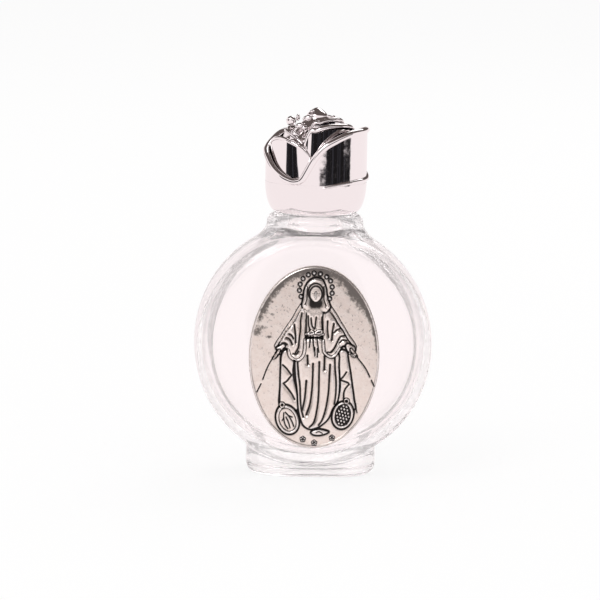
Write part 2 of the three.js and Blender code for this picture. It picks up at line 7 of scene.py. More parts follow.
# %% Load the frame
import json
import math
import bpy
import numpy as np
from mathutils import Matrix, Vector


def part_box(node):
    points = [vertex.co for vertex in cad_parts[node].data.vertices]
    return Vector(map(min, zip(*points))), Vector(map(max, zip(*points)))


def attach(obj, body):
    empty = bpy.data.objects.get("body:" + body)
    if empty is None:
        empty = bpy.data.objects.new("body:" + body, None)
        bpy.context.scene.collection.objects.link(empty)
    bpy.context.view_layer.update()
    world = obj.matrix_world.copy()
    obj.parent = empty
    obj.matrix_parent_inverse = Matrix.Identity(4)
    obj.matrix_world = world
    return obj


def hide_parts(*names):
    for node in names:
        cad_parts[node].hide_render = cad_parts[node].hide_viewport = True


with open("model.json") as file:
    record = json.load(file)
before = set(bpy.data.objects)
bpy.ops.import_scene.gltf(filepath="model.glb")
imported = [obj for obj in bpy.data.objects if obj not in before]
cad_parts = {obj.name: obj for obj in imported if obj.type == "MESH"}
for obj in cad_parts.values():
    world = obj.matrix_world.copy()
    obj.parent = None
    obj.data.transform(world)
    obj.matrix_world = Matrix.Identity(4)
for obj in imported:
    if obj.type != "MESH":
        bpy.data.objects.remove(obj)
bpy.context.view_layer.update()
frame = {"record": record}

mm = 0.001

# %% [markdown]
# The camera comes first, because it decides how large each detail will be seen. A small product is
# photographed from well away with a long lens, so it shows little perspective. The camera looks slightly
# down, a little from the left, and it is tilted by about a degree, as a hand-held one is.

# %% Camera
camera_distance = 0.8
camera_elevation = math.radians(7.5)
camera_azimuth = math.radians(-1.5)
camera_roll = math.radians(1.15)
aim = Vector((-2.38 * mm, 0, 30.65 * mm))
picture_width = 106.2 * mm

back = Vector((
    math.sin(camera_azimuth) * math.cos(camera_elevation),
    -math.cos(camera_azimuth) * math.cos(camera_elevation),
    math.sin(camera_elevation),
))
camera_data = bpy.data.cameras.new("product_camera")
camera_data.sensor_width = 36
camera_data.lens = camera_data.sensor_width * camera_distance / picture_width
camera_data.clip_start = 0.01
camera_data.clip_end = 20
camera = bpy.data.objects.new("product_camera", camera_data)
bpy.context.scene.collection.objects.link(camera)
camera.rotation_mode = "QUATERNION"
camera.location = aim + camera_distance * back
look = (-back).to_track_quat("-Z", "Y")
camera.rotation_quaternion = look @ Vector((1, 0, 0)).rotation_difference(
    Vector((math.cos(camera_roll), math.sin(camera_roll), 0))
)
bpy.context.scene.camera = camera
bpy.context.scene.view_settings.view_transform = "Standard"
print("The lens is", round(camera_data.lens), "mm long")

# %% [markdown]
# Materials are written as expressions. A wrapped socket knows how to add, subtract and multiply, so a
# pattern reads like a formula, and the Math nodes appear behind it. Any other node comes from one method.

# %% Shader expressions
class Value:
    """One output of a shader node. Arithmetic on it adds Math nodes."""

    def __init__(self, sheet, socket):
        self.sheet = sheet
        self.socket = socket

    def math(self, operation, *others):
        inputs = dict(enumerate((self, *others)))
        return self.sheet.add("ShaderNodeMath", {"operation": operation}, inputs)

    def __add__(self, other):
        return self.math("ADD", other)

    def __sub__(self, other):
        return self.math("SUBTRACT", other)

    def __rsub__(self, other):
        return (self * -1) + other

    def __mul__(self, other):
        return self.math("MULTIPLY", other)

    def __truediv__(self, other):
        return self.math("DIVIDE", other)

    __radd__ = __add__
    __rmul__ = __mul__

    def smooth(self, low, high):
        """0 below low, 1 above high, with a soft step between them."""
        settings = {"interpolation_type": "SMOOTHSTEP"}
        inputs = {"Value": self, "From Min": low, "From Max": high}
        return self.sheet.add("ShaderNodeMapRange", settings, inputs)

    def window(self, low, high, softness):
        """1 between low and high, with soft ends."""
        opens = self.smooth(low - softness, low + softness)
        closes = self.smooth(high - softness, high + softness)
        return opens * (1 - closes)


class Sheet:
    """The node tree of a material or world."""

    def __init__(self, owner):
        owner.use_nodes = True
        self.tree = owner.node_tree
        self.tree.nodes.clear()

    def add(self, kind, settings=None, inputs=None, output=0):
        """A new node, its settings, and the values or links of its inputs."""
        node = self.tree.nodes.new(kind)
        for name, value in (settings or {}).items():
            setattr(node, name, value)
        for name, value in (inputs or {}).items():
            if isinstance(value, Value):
                self.tree.links.new(value.socket, node.inputs[name])
            else:
                node.inputs[name].default_value = value
        return Value(self, node.outputs[output])

    def blend(self, factor, first, second):
        """Colour between two colours."""
        inputs = {0: factor, 6: first, 7: second}
        return self.add("ShaderNodeMix", {"data_type": "RGBA"}, inputs, 2)

    def place(self):
        return self.add("ShaderNodeTexCoord", output="Object")

    def noise(self, scale, detail=4, roughness=0.55, place=None):
        """Cloudy pattern from 0 to 1, with scale in waves per metre."""
        inputs = {"Vector": place or self.place(), "Scale": scale, "Detail": detail, "Roughness": roughness}
        return self.add("ShaderNodeTexNoise", inputs=inputs)

    def bump(self, height, distance, strength):
        inputs = {"Height": height, "Distance": distance, "Strength": strength}
        return self.add("ShaderNodeBump", inputs=inputs)

    def surface(self, **inputs):
        """The main shader, joined to the output."""
        named = {name.replace("_", " "): value for name, value in inputs.items()}
        self.finish(self.add("ShaderNodeBsdfPrincipled", inputs=named))

    def finish(self, shader, kind="ShaderNodeOutputMaterial"):
        """Joins the shader to the output."""
        node = self.tree.nodes.new(kind)
        self.tree.links.new(shader.socket, node.inputs["Surface"])


def new_material(name):
    material = bpy.data.materials.new(name)
    return material, Sheet(material)


# %% [markdown]
# Bright metal and clear glass are drawn by what surrounds them. A small bright object is photographed in a
# white tent on a white table. Chrome then shows broad pale areas, cut by dark bands where the tent is open
# towards the room. The tent could be built from lamps and cards. A world that knows its openings by
# direction is quicker to tune, and it lights the bottle evenly. So the world is white, with a few dark
# openings in the directions that mirror into the petals. The camera sees plain white behind the bottle.

# %% Tent and its openings
white = (1, 1, 1, 1)
tent_white = (0.97, 0.905, 0.91, 1)
glass_share = 0.1
room_dark = (0.012, 0.011, 0.012, 1)
room_grey = (0.035, 0.035, 0.042, 1)
room_brown = (0.11, 0.09, 0.085, 1)
degree = math.radians(1)
down = -90
past_edge = 9
not_on_table = (2, past_edge)
# Each row has an opening's two side directions, its lowest and highest rise and the softness of its edges,
# all in degrees. Then come the distances from the bottle, in metres, between which the table is dark in
# those directions, and what shows in the opening. A row whose rises are both straight down shows on the
# table alone. The last row is the gap for the camera.
openings = [
    (20.5, 63, down, 13, 1.2, (0.405, past_edge), room_dark),
    (59, 82, down, 13, 1.2, (0.405, 0.65), room_dark),
    (14, 24, down, down, 3, (0.48, 0.58), room_dark),
    (7, 24, down, down, 2, (0.49, 0.55), room_dark),
    (-78, -42.5, down, 24, 1.2, (0.7, past_edge), room_dark),
    (-140, -104, 5, 15, 2, not_on_table, room_brown),
    (-18, 26, 0, 12, 1.2, not_on_table, room_dark),
]
table_softness = 0.004
table_waves = 110
tent_waves = 15
streak_waves = 23, 61
overhead_gap = 50 * degree
overhead_drop = 22 * degree
overhead_turn = 40 * degree
gap_softness = 2 * degree
edge_wander = 1.5 * degree
print("The tent has", len(openings) - 2, "dark openings, and 2 rows are for the table alone")


# %% What a mirror sees by direction
def turn_from_front(sheet, direction):
    """Turn of a direction round the upright axis, from the front, and its parts along x, y and z."""
    parts = sheet.add("ShaderNodeSeparateXYZ", inputs={0: direction})
    x, y, z = (Value(sheet, parts.socket.node.outputs[i]) for i in range(3))
    return x.math("ARCTAN2", y * -1), (x, y, z)


def room_view(sheet, turn, pale, share, rise=None, away=None):
    """The pale tent with its openings, by rise, or the table with its dark ranges, by distance away."""
    wander = (away * table_waves if rise is None else rise * tent_waves).math("SINE") * edge_wander
    streak = ((turn * streak_waves[0]).math("SINE") + (turn * streak_waves[1] + 1).math("SINE")) * 0.25 + 0.5
    for left, right, low, top, softness, table_ends, room in openings:
        left, right, low, top, softness = (angle * degree for angle in (left, right, low, top, softness))
        band = (turn + wander).window(left, right, softness)
        if away is None:
            band = band * rise.window(low, top, softness)
        else:
            band = band * away.window(*table_ends, table_softness)
        shade = sheet.blend(streak.smooth(0.5, 1), room, room_grey) if room == room_dark else room
        pale = sheet.blend(band * share, pale, shade)
    return pale


def ray_kinds(sheet):
    """Whether the ray comes from the camera, from a mirror or through glass."""
    path = sheet.add("ShaderNodeLightPath")
    outputs = path.socket.node.outputs
    names = ("Is Camera Ray", "Is Glossy Ray", "Is Transmission Ray", "Transmission Depth")
    return [Value(sheet, outputs[name]) for name in names]


def mirror_share(sheet, glassy):
    """How strongly the openings show: fully in a mirror, and faintly to rays that have been in glass."""
    return 1 - (1 - glass_share) * glassy.math("GREATER_THAN", 0.5)


# %% World
world = bpy.data.worlds.new("photo_tent")
bpy.context.scene.world = world
sheet = Sheet(world)
direction = sheet.add("ShaderNodeTexCoord", output="Generated")
turn, parts = turn_from_front(sheet, direction)
rise = parts[2].math("ARCSINE")
camera_ray, glossy_ray, transmission_ray, glassy = ray_kinds(sheet)
share = mirror_share(sheet, glassy)
mirrored = room_view(sheet, turn, sheet.blend(share, white, tent_white), share, rise=rise)
gap_edge = overhead_gap - overhead_drop * (1 - (turn + overhead_turn).math("COSINE"))
overhead = (rise - gap_edge).smooth(-gap_softness, gap_softness)
mirrored = sheet.blend(overhead * share, mirrored, room_brown)
seen = sheet.blend(glossy_ray, white, mirrored)
direct = sheet.add("ShaderNodeBackground", inputs={"Color": seen, "Strength": 1.0})
ambient_colour = (1, 0.985, 0.985, 1)
ambient_level = 0.8
soft = sheet.add("ShaderNodeBackground", inputs={"Color": ambient_colour, "Strength": ambient_level})
any_view = camera_ray.math("MAXIMUM", glossy_ray).math("MAXIMUM", transmission_ray)
both = sheet.add("ShaderNodeMixShader", inputs={0: any_view, 1: soft, 2: direct})
sheet.finish(both, "ShaderNodeOutputWorld")
print("The world has", len(sheet.tree.nodes), "nodes")

# %% [markdown]
# The table is a plain pale plane. It has to look as white as the background and still hold the bottle's
# soft shadow. A painted plane alone would turn grey away from the lamps, so its surface is partly its own
# light and partly lit. In a mirror it is the tent's floor, and it goes dark where the room shows on it.

# %% Table
table_size = 3
table_drop = 0.02 * mm
own_light = 0.85
bpy.ops.object.select_all(action="DESELECT")
bpy.ops.mesh.primitive_plane_add(size=table_size, location=(0, 0, -table_drop))
bpy.ops.object.transform_apply(location=True)
table_top = bpy.context.object
table_top.name = "table_top"
material, sheet = new_material("white_table")
turn, parts = turn_from_front(sheet, sheet.place())
away = (parts[0] * parts[0] + parts[1] * parts[1]).math("SQRT")
camera_ray, glossy_ray, transmission_ray, glassy = ray_kinds(sheet)
share = mirror_share(sheet, glassy)
mirrored = room_view(sheet, turn, sheet.blend(share, white, tent_white), share, away=away)
seen = sheet.blend(glossy_ray, white, mirrored)
glow = sheet.add("ShaderNodeEmission", inputs={"Color": seen, "Strength": 1.0})
paint = sheet.add("ShaderNodeBsdfDiffuse", inputs={"Color": (0.93, 0.925, 0.925, 1)})
share = (camera_ray + transmission_ray) * own_light + glossy_ray
both = sheet.add("ShaderNodeMixShader", inputs={0: share, 1: paint, 2: glow})
sheet.finish(both)
table_top.data.materials.append(material)
print("The table is", table_size, "m wide")


# %% Lamps
def softbox(name, place, target, size, power):
    """A large square lamp that faces the target."""
    data = bpy.data.lights.new(name, "AREA")
    data.size = size
    data.energy = power
    lamp = bpy.data.objects.new(name, data)
    lamp.location = place
    lamp.rotation_euler = (Vector(target) - Vector(place)).to_track_quat("-Z", "Y").to_euler()
    bpy.context.scene.collection.objects.link(lamp)
    print(name, "gives", power, "W")


bottle_middle = (0, 0, 30 * mm)
softbox("key_softbox", (-0.35, -0.5, 0.65), bottle_middle, 0.35, 1.6)
softbox("back_softbox", (0.3, 0.6, 0.7), bottle_middle, 0.5, 1.6)

# %% [markdown]
# A few helpers serve every piece below. The main one builds a closed skin through equal rings of points, as
# a loft does. Another hangs a finished piece on the body that it moves with, hides the solid that it stands
# for, and measures it against that solid's box.

# %% Mesh helpers
def new_piece(name, points, faces):
    mesh = bpy.data.meshes.new(name)
    mesh.from_pydata([tuple(p) for p in points], [], faces)
    mesh.update()
    piece = bpy.data.objects.new(name, mesh)
    bpy.context.scene.collection.objects.link(piece)
    return piece


def loft(name, rings, start, end):
    """Closed skin through rings[ring][column] points, with one point to close each end."""
    count, columns = rings.shape[:2]
    points = np.concatenate([rings.reshape(-1, 3), [start, end]])
    here = np.arange(columns)
    following = (here + 1) % columns
    faces = []
    for ring in range(count - 1):
        low = ring * columns
        high = low + columns
        quads = np.stack([low + here, low + following, high + following, high + here], axis=1)
        faces += quads.tolist()
    last = (count - 1) * columns
    first_fan = np.stack([following, here, np.full(columns, count * columns)], axis=1)
    last_fan = np.stack([last + here, last + following, np.full(columns, count * columns + 1)], axis=1)
    return new_piece(name, points, faces + first_fan.tolist() + last_fan.tolist())


def make_active(piece):
    bpy.ops.object.select_all(action="DESELECT")
    piece.select_set(True)
    bpy.context.view_layer.objects.active = piece


def smooth(piece, angle):
    """Smooth shading, but for edges that are sharper than the angle."""
    make_active(piece)
    bpy.ops.object.shade_smooth_by_angle(angle=math.radians(angle))


def dress(piece, node, material):
    """Hangs a piece where its solid hangs, in that solid's place, with its material."""
    piece.data.materials.clear()
    piece.data.materials.append(material)
    body = next(name for name, members in frame["record"]["behaviour"]["bodies"].items() if node in members)
    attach(piece, body)
    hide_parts(node)
    low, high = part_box(node)
    points = np.array([v.co for v in piece.data.vertices])
    outside = max((np.array(low) - points.min(0)).max(), (points.max(0) - np.array(high)).max())
    print(piece.name, "has", len(piece.data.polygons), "faces, and passes its solid's box by",
          round(outside / mm, 3), "mm")


# %% [markdown]
# Curves are drawn through a few points, as with a bent batten. A smooth height through given places serves
# the rims of the petals, and a smooth line through points serves the folds on the medal.

# %% Smooth curves
def height_through(places, wanted):
    """Smooth heights at the wanted angles, through (angle, height) places."""
    across, up = np.array(places, float).T
    slope = np.gradient(up, across)
    i = np.clip(np.searchsorted(across, wanted) - 1, 0, len(across) - 2)
    span = across[i + 1] - across[i]
    t = np.clip((wanted - across[i]) / span, 0, 1)
    start = (1 + 2 * t) * (1 - t) ** 2 * up[i] + t * (1 - t) ** 2 * span * slope[i]
    end = t * t * (3 - 2 * t) * up[i + 1] + t * t * (t - 1) * span * slope[i + 1]
    return start + end


def line_through(places, steps=6, closed=False):
    """Points of a smooth line through the given ones."""
    points = np.array(places, float)
    if closed:
        points = np.concatenate([points[-1:], points, points[:2]])
    else:
        points = np.concatenate([2 * points[:1] - points[1:2], points, 2 * points[-1:] - points[-2:-1]])
    made = []
    for a, b, c, d in zip(points, points[1:], points[2:], points[3:]):
        for t in np.arange(steps) / steps:
            made.append(0.5 * (2 * b + (c - a) * t + (2 * a - 5 * b + 4 * c - d) * t**2
                               + (3 * b - a - 3 * c + d) * t**3))
    if not closed:
        made.append(points[-2])
    return np.array(made)


print("A smooth line through 3 points has", len(line_through([(0, 0), (1, 1), (2, 0)])), "points")


# %% [markdown]
# The flask is pressed glass, and glass shows every kink of its surface as a dark line. Simple bodies joined
# by booleans would leave such kinks. So it is one skin, drawn as a profile for each direction round the
# upright axis: from the middle of the foot out over the disc and the collar, up the threaded neck, and back
# down inside to the cavity's floor.

# %% Flask sizes
bottle_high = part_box("glass_bottle")[1]
body_radius = bottle_high.x
body_half_depth = bottle_high.y
finish_top = bottle_high.z
body_centre = 23.3 * mm
body_edge = 2.6 * mm
body_crown = 0.4 * mm
side_wall = 0.8 * mm
face_wall = 2.1 * mm
cavity_edge = 2.2 * mm
cavity_crown = 0.8 * mm
foot_half_width = 11.4 * mm
foot_half_depth = 8 * mm
foot_squareness = 2.5
foot_edge = 1.8 * mm
foot_blend = 1.3 * mm
foot_hollow = 0.5 * mm
hollow_share = 0.82
collar_radius = 8.5 * mm
collar_top = 46.2 * mm
collar_edge = 1.4 * mm
collar_blend = 3.6 * mm
collar_blend_rise = 1.5 * mm
finish_radius = 5.2 * mm
bore_radius = 3.8 * mm
bore_flare_radius = 4.9 * mm
bore_mouth_radius = 5.8 * mm
bore_flare_height = 3.2 * mm
rim_edge = 0.35 * mm
thread_pitch = 2.1 * mm
thread_turns = 1.5
thread_depth = 0.6 * mm
thread_root = 0.85 * mm
thread_crest = 0.4 * mm
thread_fade = 0.12
thread_start = collar_top + 2.3 * mm
blend_share = 0.62

outer_disc = (body_radius, body_half_depth, body_edge, body_crown)
cavity_disc = (body_radius - side_wall, body_half_depth - face_wall, cavity_edge, cavity_crown)
print("Width and depth of the disc:", round(2 * body_radius / mm, 1), round(2 * body_half_depth / mm, 1))


# %% Skin of a crowned disc on edge
halvings = 40


def disc_radius(distance, disc):
    """Radius of the disc at a distance from its middle plane."""
    radius, half_depth, edge, crown = disc
    straight = half_depth - edge
    past = np.clip(np.abs(distance) - straight, 0, edge)
    crowned = radius - crown * np.minimum(np.abs(distance) / straight, 1) ** 2
    return crowned - edge + np.sqrt(edge**2 - past**2)


def disc_skin(azimuth, polar, disc):
    """Reach and height of the skin, seen from the disc's centre at a polar angle from straight down."""
    deep = np.abs(np.sin(polar) * np.cos(azimuth))
    up = -np.cos(polar)
    across = np.hypot(np.sin(polar) * np.sin(azimuth), up)
    near = np.zeros(np.broadcast(azimuth, polar).shape)
    far = np.minimum(disc[1] / np.maximum(deep, 1e-9), 2 * disc[0]) + near
    for _ in range(halvings):
        middle = (near + far) / 2
        inside = across * middle < disc_radius(deep * middle, disc)
        near = np.where(inside, middle, near)
        far = np.where(inside, far, middle)
    return near * np.sin(polar), body_centre + near * up


def skin_height(azimuth, reach, side, disc):
    """Height of the skin at a reach from the axis, on its upper side (1) or its lower side (-1)."""
    radius = disc_radius(reach * np.cos(azimuth), disc)
    return body_centre + side * np.sqrt(np.maximum(radius**2 - (reach * np.sin(azimuth)) ** 2, 0))


def even_steps(x, y, count, bend_weight):
    """Places along a line, as shares of its samples, spaced by length and more closely where it bends."""
    dx, dy = np.diff(x), np.diff(y)
    length = np.hypot(dx, dy)
    heading = np.unwrap(np.arctan2(dy, dx))
    bend = np.abs(np.gradient(heading))
    measure = length / length.sum() + bend_weight * bend / max(bend.sum(), 1e-9)
    gone = np.concatenate([[0], np.cumsum(measure)])
    samples = np.linspace(0, 1, len(x))
    return np.interp(np.linspace(0, gone[-1], count), gone, samples)


# %% Directions round the axis, closer together where the disc's edge turns
flask_columns = 272
column_bend_weight = 0.9
ring = np.linspace(0, 2 * np.pi, 2881)
equator = disc_skin(ring, np.full_like(ring, np.pi / 2), outer_disc)[0]
ring_x, ring_y = equator * np.sin(ring), -equator * np.cos(ring)
azimuths = 2 * np.pi * even_steps(ring_x, ring_y, flask_columns + 1, column_bend_weight)[:-1]
print("Widest step round the flask:", round(np.degrees(np.diff(azimuths).max()), 2), "degrees")


# %% Profile rows of the flask
row_bend_weight = 0.8


def arc_rows(count, start_tilt, end_tilt, centre_reach, centre_height, radius):
    """Rows on an arc, with tilt measured from level outwards."""
    tilts = np.linspace(start_tilt, end_tilt, count)
    return [(centre_reach + radius * np.cos(t), centre_height + radius * np.sin(t)) for t in tilts]


def curve_rows(count, start, corner, end):
    """Rows on a curve from start to end that leaves and lands towards the corner. Both ends are included."""
    rows = []
    for t in np.linspace(0, 1, count):
        weights = (1 - t) ** 2, 2 * t * (1 - t), t**2
        rows.append(tuple(sum(w * p[i] for w, p in zip(weights, (start, corner, end))) for i in (0, 1)))
    return rows


def skin_rows(count, start_polar, end_polar, disc):
    """Rows over a disc's skin between two polar angles, set more closely where it bends."""
    samples = np.linspace(0, 1, 500)[:, None]
    start_polar, end_polar = (p + np.zeros_like(azimuths) for p in (start_polar, end_polar))
    polar = start_polar + (end_polar - start_polar) * samples
    reach, height = disc_skin(azimuths[None, :], polar, disc)
    steps = np.stack([even_steps(reach[:, j], height[:, j], count + 2, row_bend_weight)
                      for j in range(flask_columns)], axis=1)
    chosen = start_polar + (end_polar - start_polar) * steps[1:-1]
    reach, height = disc_skin(azimuths[None, :], chosen, disc)
    return list(zip(reach, height))


def landing(azimuths, reach, side, disc):
    """Height of the skin there, its slope, and the polar angle at which it is seen."""
    near = 0.02 * mm
    height = skin_height(azimuths, reach, side, disc)
    slope = (skin_height(azimuths, reach + near, side, disc)
             - skin_height(azimuths, reach - near, side, disc)) / (2 * near)
    return height, slope, np.arctan2(reach, body_centre - height)


def blend_size(reach, wanted):
    """Width of a blend, no wider than a share of the disc's depth leaves there."""
    room = blend_share * (body_half_depth / np.maximum(np.abs(np.cos(azimuths)), 1e-6) - reach)
    return (wanted**-4.0 + room**-4.0) ** -0.25


# %% Foot of the flask
zero = np.zeros_like(azimuths)
foot_reach = ((np.abs(np.sin(azimuths)) / foot_half_width) ** foot_squareness
              + (np.abs(np.cos(azimuths)) / foot_half_depth) ** foot_squareness) ** (-1 / foot_squareness)
flat_reach = foot_reach - foot_edge
hollow_reach = hollow_share * flat_reach
rows = [(share * hollow_reach, zero + foot_hollow * (1 - share**2) ** 2)
        for share in (0.08, 0.3, 0.5, 0.68, 0.84, 1)]
rows += [(flat_reach, zero)]
rows += arc_rows(9, -np.pi / 2, 0, flat_reach, zero + foot_edge, foot_edge)[1:]
size = blend_size(foot_reach, foot_blend)
land_reach = foot_reach + size
land_height, slope, start_polar = landing(azimuths, land_reach, -1, outer_disc)
corner = land_height - slope * size
rows += curve_rows(8, (foot_reach, np.maximum(corner - size, foot_edge + 0.05 * mm)), (foot_reach, corner),
                   (land_reach, land_height))
print("The foot has", len(rows), "rows of points")

# %% Disc and collar of the flask
size = blend_size(collar_radius, collar_blend)
land_reach = collar_radius + size
land_height, slope, end_polar = landing(azimuths, land_reach, 1, outer_disc)
corner = land_height - slope * size
wall_start = np.minimum(corner + collar_blend_rise, collar_top - collar_edge - 0.05 * mm)
corner = np.minimum(corner, wall_start - 0.3 * mm)
rows += skin_rows(104, start_polar, end_polar, outer_disc)
rows += curve_rows(10, (land_reach, land_height), (collar_radius, corner), (collar_radius, wall_start))
rows += arc_rows(9, 0, np.pi / 2, collar_radius - collar_edge + zero, collar_top - collar_edge + zero,
                 collar_edge)
rows += curve_rows(4, (finish_radius + 0.5 * mm, collar_top), (finish_radius, collar_top),
                   (finish_radius, collar_top + 0.4 * mm))
print("Foot, disc and collar have", len(rows), "rows")


# %% Threaded neck of the flask
def thread_ridge(azimuth, height):
    """How far the right-hand thread stands off the neck at an angle and height."""
    total = np.zeros_like(azimuth)
    for k in range(int(thread_turns) + 1):
        gone = azimuth / (2 * np.pi) + k
        off = np.abs(height - thread_start - thread_pitch * gone)
        flank = np.clip((thread_root / 2 - off) / (thread_root / 2 - thread_crest / 2), 0, 1)
        fade = np.clip(np.minimum(gone, thread_turns - gone) / thread_fade, 0, 1)
        total = np.maximum(total, thread_depth * np.sqrt(flank) * fade)
    return total


neck_heights = np.linspace(collar_top + 0.55 * mm, finish_top - rim_edge, 52)
rows += [(finish_radius + thread_ridge(azimuths, height), zero + height) for height in neck_heights]
rim_centre = finish_top - rim_edge + zero
rows += arc_rows(5, 0, np.pi / 2, finish_radius - rim_edge + zero, rim_centre, rim_edge)[1:]
print("The outside of the flask has", len(rows), "rows")

# %% Bore and cavity of the flask
rows += arc_rows(5, np.pi / 2, np.pi, bore_radius + rim_edge + zero, rim_centre, rim_edge)
flare_top = collar_top + bore_flare_height / 2
rows += [(bore_radius, zero + flare_top + 1.5 * mm)]
for share in np.linspace(0, 1, 8):
    eased = share * share * (3 - 2 * share)
    rows.append((bore_radius + (bore_flare_radius - bore_radius) * eased + zero,
                 flare_top - bore_flare_height * share + zero))
land_height, slope, start_polar = landing(azimuths, bore_mouth_radius + zero, 1, cavity_disc)
corner = land_height + slope * (bore_flare_radius - bore_mouth_radius)
rows += curve_rows(8, (bore_flare_radius, corner + 1.2 * mm), (bore_flare_radius, corner),
                   (bore_mouth_radius, land_height))
last_polar = 0.03
rows += skin_rows(78, start_polar, zero + last_polar, cavity_disc)

rings = np.stack([
    np.stack([(reach + zero) * np.sin(azimuths), -(reach + zero) * np.cos(azimuths), height + zero], axis=1)
    for reach, height in rows
])
cavity_floor = body_centre - cavity_disc[0]
flask = loft("glass_flask", rings, (0, 0, foot_hollow), (0, 0, cavity_floor))
print("The flask has", len(rows), "rows of", flask_columns)

# %% [markdown]
# Clear soda glass bends light by a factor of about 1.5, and this thin flask looks right with a little less.
# The wall hardly colours the light, and this glass has the faintest rose tint. Pressed glass is never quite
# flat, so a slow ripple moves its reflections a little. The walls of the real one look clearer than bent
# light alone gives, so the surface also lets a small share of the light straight through.

# %% Glass
clear_glass, sheet = new_material("clear_glass")
glass_index = 1.46
straight_through = 0.15
ripple = sheet.noise(110, detail=2) + 0.15 * sheet.noise(700, detail=2)
sheet.surface(
    Base_Color=(1.0, 0.955, 0.959, 1),
    Roughness=sheet.noise(900).smooth(0, 10) * 0.05,
    IOR=glass_index,
    Transmission_Weight=1.0,
    Alpha=1 - straight_through,
    Normal=sheet.bump(ripple, 0.05 * mm, 0.06),
)
smooth(flask, 40)
dress(flask, "glass_bottle", clear_glass)

# %% [markdown]
# The cap is one casting, plated with chrome. Its lower part is a plain band that rounds in towards its
# edge. Above it a rose opens, and each petal is a sheet that rises from the casting and ends in a rolled
# rim. The bloom could be sculpted as one skin, but then no petal could be changed alone. So each petal is a
# thin section that sweeps round the axis while its rim rises and falls, and a round roll of its own lies
# along that rim.

# %% Rose sizes
cap_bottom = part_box("rose_cap_shell")[0].z
band_radius = 8.95 * mm
band_height = 5.4 * mm
band_top = cap_bottom + band_height
bloom_height = 13.1 * mm
cap_bore = 6.55 * mm
cap_bore_top = 57.0 * mm
skirt_edge = 0.4 * mm
petal_wall = 0.5 * mm
end_taper = 0.8 * mm
roll_out = 0.2
# Each petal has the radii of its root and rim at its two ends, as shares of the band's radius, the swell of
# its wall, how far its rim turns out, the radii of its rolled rim at its two ends in mm, where its wall
# starts, and its rim as (angle, height) places. Heights are shares of the bloom's height, measured up from
# the band.
petals = [
    dict(root=(0.998, 0.998), rim=(1.0, 0.995), swell=0, lip=0, bead=(0.64, 0.58), foot=-0.05, edge=[
        (-215, 0.12), (-203, 0.4), (-188, 0.6), (-170, 0.68), (-150, 0.68), (-135, 0.645), (-120, 0.56),
        (-105, 0.49), (-90, 0.445), (-77, 0.38), (-66, 0.29), (-52, 0.19), (-38, 0.115), (-24, 0.09),
        (-17, 0.13), (-12, 0.23), (-6, 0.36), (5, 0.53), (21, 0.65), (40, 0.73), (65, 0.755), (96, 0.74),
        (120, 0.68), (140, 0.55), (155, 0.36), (165, 0.15)]),
    dict(root=(0.98, 0.985), rim=(1.0, 1.0), swell=0, lip=0.02, bead=(0.4, 0.5), foot=-0.09, edge=[
        (6, 0.0), (28, 0.045), (50, 0.075), (72, 0.085), (90, 0.1), (115, 0.19), (142, 0.35), (165, 0.46),
        (185, 0.49), (205, 0.42), (222, 0.26), (236, 0.05)]),
    dict(root=(0.94, 0.93), rim=(0.92, 0.83), swell=0, lip=0, bead=(0.36, 0.4), edge=[
        (-125, 0.3), (-108, 0.42), (-95, 0.5), (-80, 0.58), (-60, 0.625), (-42, 0.6), (-24, 0.515),
        (-11, 0.4), (-5, 0.3)]),
    dict(root=(0.83, 0.81), rim=(0.73, 0.71), swell=0, lip=0.01, bead=(0.5, 0.6), edge=[
        (-22, 0.5), (-17, 0.66), (0, 0.765), (12, 0.8), (33, 0.815), (53, 0.805), (70, 0.77), (88, 0.66),
        (98, 0.48)]),
    dict(root=(0.66, 0.64), rim=(0.54, 0.52), swell=0, lip=0.01, bead=(0.42, 0.55), edge=[
        (-20, 0.62), (-13, 0.77), (8, 0.85), (25, 0.88), (47, 0.885), (66, 0.85), (84, 0.74), (94, 0.6)]),
    dict(root=(0.88, 0.82), rim=(0.62, 0.56), swell=0, lip=0, bead=(0.3, 0.3), edge=[
        (-178, 0.5), (-165, 0.62), (-140, 0.71), (-115, 0.73), (-90, 0.71), (-65, 0.68), (-50, 0.63),
        (-42, 0.55), (-36, 0.45)]),
    dict(root=(0.72, 0.7), rim=(0.62, 0.6), swell=0, lip=0.02, bead=(0.32, 0.36), edge=[
        (-118, 0.5), (-108, 0.64), (-90, 0.7), (-70, 0.695), (-50, 0.65), (-32, 0.57), (-20, 0.5),
        (-10, 0.43), (-4, 0.34)]),
    dict(root=(0.68, 0.66), rim=(0.6, 0.56), swell=0.03, lip=0.02, bead=(0.38, 0.38), edge=[
        (92, 0.52), (104, 0.7), (130, 0.78), (165, 0.79), (200, 0.76), (228, 0.68), (242, 0.5)]),
    dict(root=(0.42, 0.42), rim=(0.38, 0.36), swell=0.02, lip=0.02, bead=(0.38, 0.38), edge=[
        (84, 0.66), (97, 0.82), (130, 0.87), (170, 0.87), (205, 0.84), (228, 0.7)]),
]
print("The rose has", len(petals), "petals")

# %% Section of a petal
section_samples = 160
tip_stations = 6
wall_stations = 16


